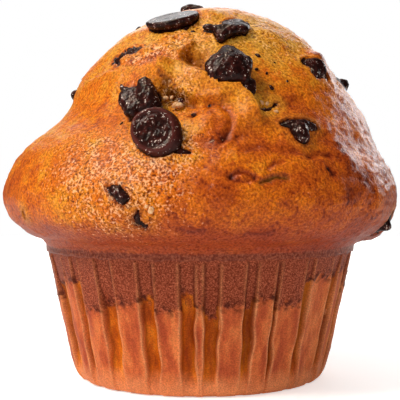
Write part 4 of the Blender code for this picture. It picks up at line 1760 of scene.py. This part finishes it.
CHIP_LUMPS = {
    "chip_01": ((Knob(-0.9, 0.2, 1.2), Knob(0.6, 0.5, 1.35, -0.6), Knob(1.9, 0.1, 1.1)),),
    # A cap that leans forward, with a lip on its left, on a stem
    "chip_03": (
        (
            Knob(-0.5, 0.5, 0.8, 0.8),
            Knob(1.3, 0.2, 0.9, 1.0),
            Knob(3.0, 0.4, 0.85, 0.7),
            Knob(3.6, 1.2, 0.7, 0.1),
            Knob(1.4, 2.5, 0.8, -0.4),
            Knob(-0.5, 1.8, 0.7, -0.2),
        ),
        (Knob(-4.1, 0.8, 0.6, 0.6), Knob(-2.2, 0.7, 0.75, 0.7), Knob(-0.3, 0.4, 0.8, 0.7)),
        (Knob(-2.0, 0.2, 0.8, 0.6), Knob(-1.3, -1.4, 0.95, 0.4), Knob(0.0, -0.3, 0.9, 0.6)),
    ),
    # A broad dome, and a smear under its right side
    "chip_04": (
        (
            Knob(-3.05, 0.8, 1.6, 0.3),
            Knob(-0.2, 3.1, 1.85, 0.2),
            Knob(2.3, 1.2, 1.9, 0.2),
            Knob(-2.85, -0.5, 1.5, 0.4),
            Knob(-1.9, -1.1, 1.4, 0.4),
            Knob(1.6, -0.6, 2.0, 0.3),
            Knob(-0.2, 0.5, 3.1, 0.4),
        ),
        (Knob(1.8, -1.6, 1.1, -0.5), Knob(3.6, -2.2, 1.0, -0.7), Knob(3.9, -3.6, 0.8, -0.7), Knob(3.0, -3.6, 0.7, -0.6)),
    ),
    # Two lobes with a crease between them, and a small chunk beside them
    "chip_05": (
        (Knob(0.6, 1.75, 1.35, 0.3), Knob(1.2, -0.3, 1.8, 0.6), Knob(2.3, -2.2, 1.5, 0.2), Knob(0.2, -2.6, 1.4)),
        (
            Knob(-2.3, -0.9, 1.8, 0.6),
            Knob(-1.4, -3.1, 1.5, 0.4),
            Knob(-0.6, -1.4, 1.6, 0.4),
            Knob(-1.1, -0.2, 1.5, 0.5),
        ),
        (Knob(-3.3, 1.0, 0.65, 0.3), Knob(-2.6, 0.9, 0.6, 0.3)),
    ),
    "chip_07": ((Knob(-1.8, 0.6, 0.6, 0.1), Knob(0.0, 0.6, 0.8, 0.1), Knob(1.5, 0.4, 0.6, 0.1)),),
    # What is left of the rim of a chip that has melted away
    "chip_08": (
        (Knob(-1.7, 1.1, 0.75, 0.5), Knob(0.0, 1.9, 0.95, 0.6), Knob(1.7, 2.1, 0.8, 0.5), Knob(0.6, 1.2, 0.7, 0.5)),
        (Knob(-3.1, 0.5, 0.6, 0.4), Knob(-2.4, -0.3, 0.6, 0.4), Knob(-1.9, 0.6, 0.6, 0.4)),
        (Knob(-2.4, -0.4, 0.55, 0.35), Knob(-2.2, -1.1, 0.5, 0.3)),
    ),
    "chip_10": (
        (Knob(0.9, -0.4, 1.2, 0.2), Knob(-0.2, 0.45, 1.0, 0.2), Knob(-1.2, 0.8, 0.7, 0.1)),
        (Knob(-1.9, 1.2, 0.35, 0.1), Knob(-1.6, 0.6, 0.35, 0.1)),
    ),
    "chip_11": (
        (Knob(-0.5, 0.9, 0.45, 0.1), Knob(-0.9, -0.35, 0.55, 0.1)),
        (Knob(-0.8, -0.7, 0.5, 0.1), Knob(0.6, -1.6, 0.5, 0.1)),
    ),
    # A dark cap that runs to a point on its left, over a rounder and browner bud
    "chip_12": (
        (Knob(-3.0, 1.4, 0.45, 0.1), Knob(-1.2, 1.5, 1.0, 0.2), Knob(1.0, 1.75, 1.05, 0.4), Knob(2.7, 1.2, 0.95, 0.2)),
        (Knob(0.3, 0.3, 1.75, 0.7), Knob(0.7, -0.7, 1.4, 0.6)),
    ),
    "chip_15": (
        (Knob(-0.35, 0.8, 0.45, 0.1), Knob(-0.1, -0.3, 0.6, 0.1)),
        (Knob(0.0, -0.5, 0.6, 0.1), Knob(1.7, -0.4, 0.55, 0.1)),
        (Knob(1.7, -0.3, 0.5, 0.1), Knob(3.1, 0.85, 0.4, 0.1)),
    ),
    "chip_16": ((Knob(-0.6, 0.0, 0.45, 0.1), Knob(-0.7, -0.9, 0.5, 0.1)),),
}

CHIP_FLATS = {"chip_03": 1.45}

CHIP_SLIDES = {"chip_06": (-0.8, 0.45)}

CHIP_HALOS = {"chip_15": 0.5, "chip_03": 0.3, "chip_08": 0.1, "chip_16": 0.4}


def measure_chips(nodes: dict[str, bpy.types.Object]) -> list[ChipSolid]:
    """Reads every chip from the frame.

    Args:
        nodes: The frame's solids by name.

    Returns:
        The chips, in the order of their names.
    """
    chips = []
    for name in sorted(name for name in nodes if name.startswith("chip_")):
        chip = ChipSolid.measure(name, nodes[name])
        chip.form = CHIP_FORMS.get(name, ChipForm.DROP)
        chip.lumps = CHIP_LUMPS.get(name, ())
        chip.flat_at = CHIP_FLATS.get(name, chip.flat_at)
        chip.slide = CHIP_SLIDES.get(name, chip.slide)
        chip.halo = CHIP_HALOS.get(name, chip.halo)
        chips.append(chip)
    return chips


def main() -> None:
    """Builds the muffin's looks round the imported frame."""
    logging.basicConfig(level=logging.INFO, format="%(name)s: %(message)s")
    for leftover in list(bpy.data.objects):
        bpy.data.objects.remove(leftover, do_unlink=True)
    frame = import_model()
    chips = measure_chips(frame["nodes"])
    form = CrownForm()
    chocolate = DarkChocolate().make()
    Studio().dress(StudioPaper().make())
    PaperCase().dress(BakingPaper().make())
    chocolates = Chips(chips, form)
    chocolates.model()
    crust = BakedCrust().make()
    Cake(form, chips).dress(crust)
    chocolates.dress(chocolate)
    Scatter("chocolate_flecks", form, list(FLECKS)).dress(chocolate, "chocolate")
    Scatter("loose_crumbs", form, list(CRUMBS)).dress(LooseCrumb().make(), "crust")


if __name__ == "__main__":
    main()
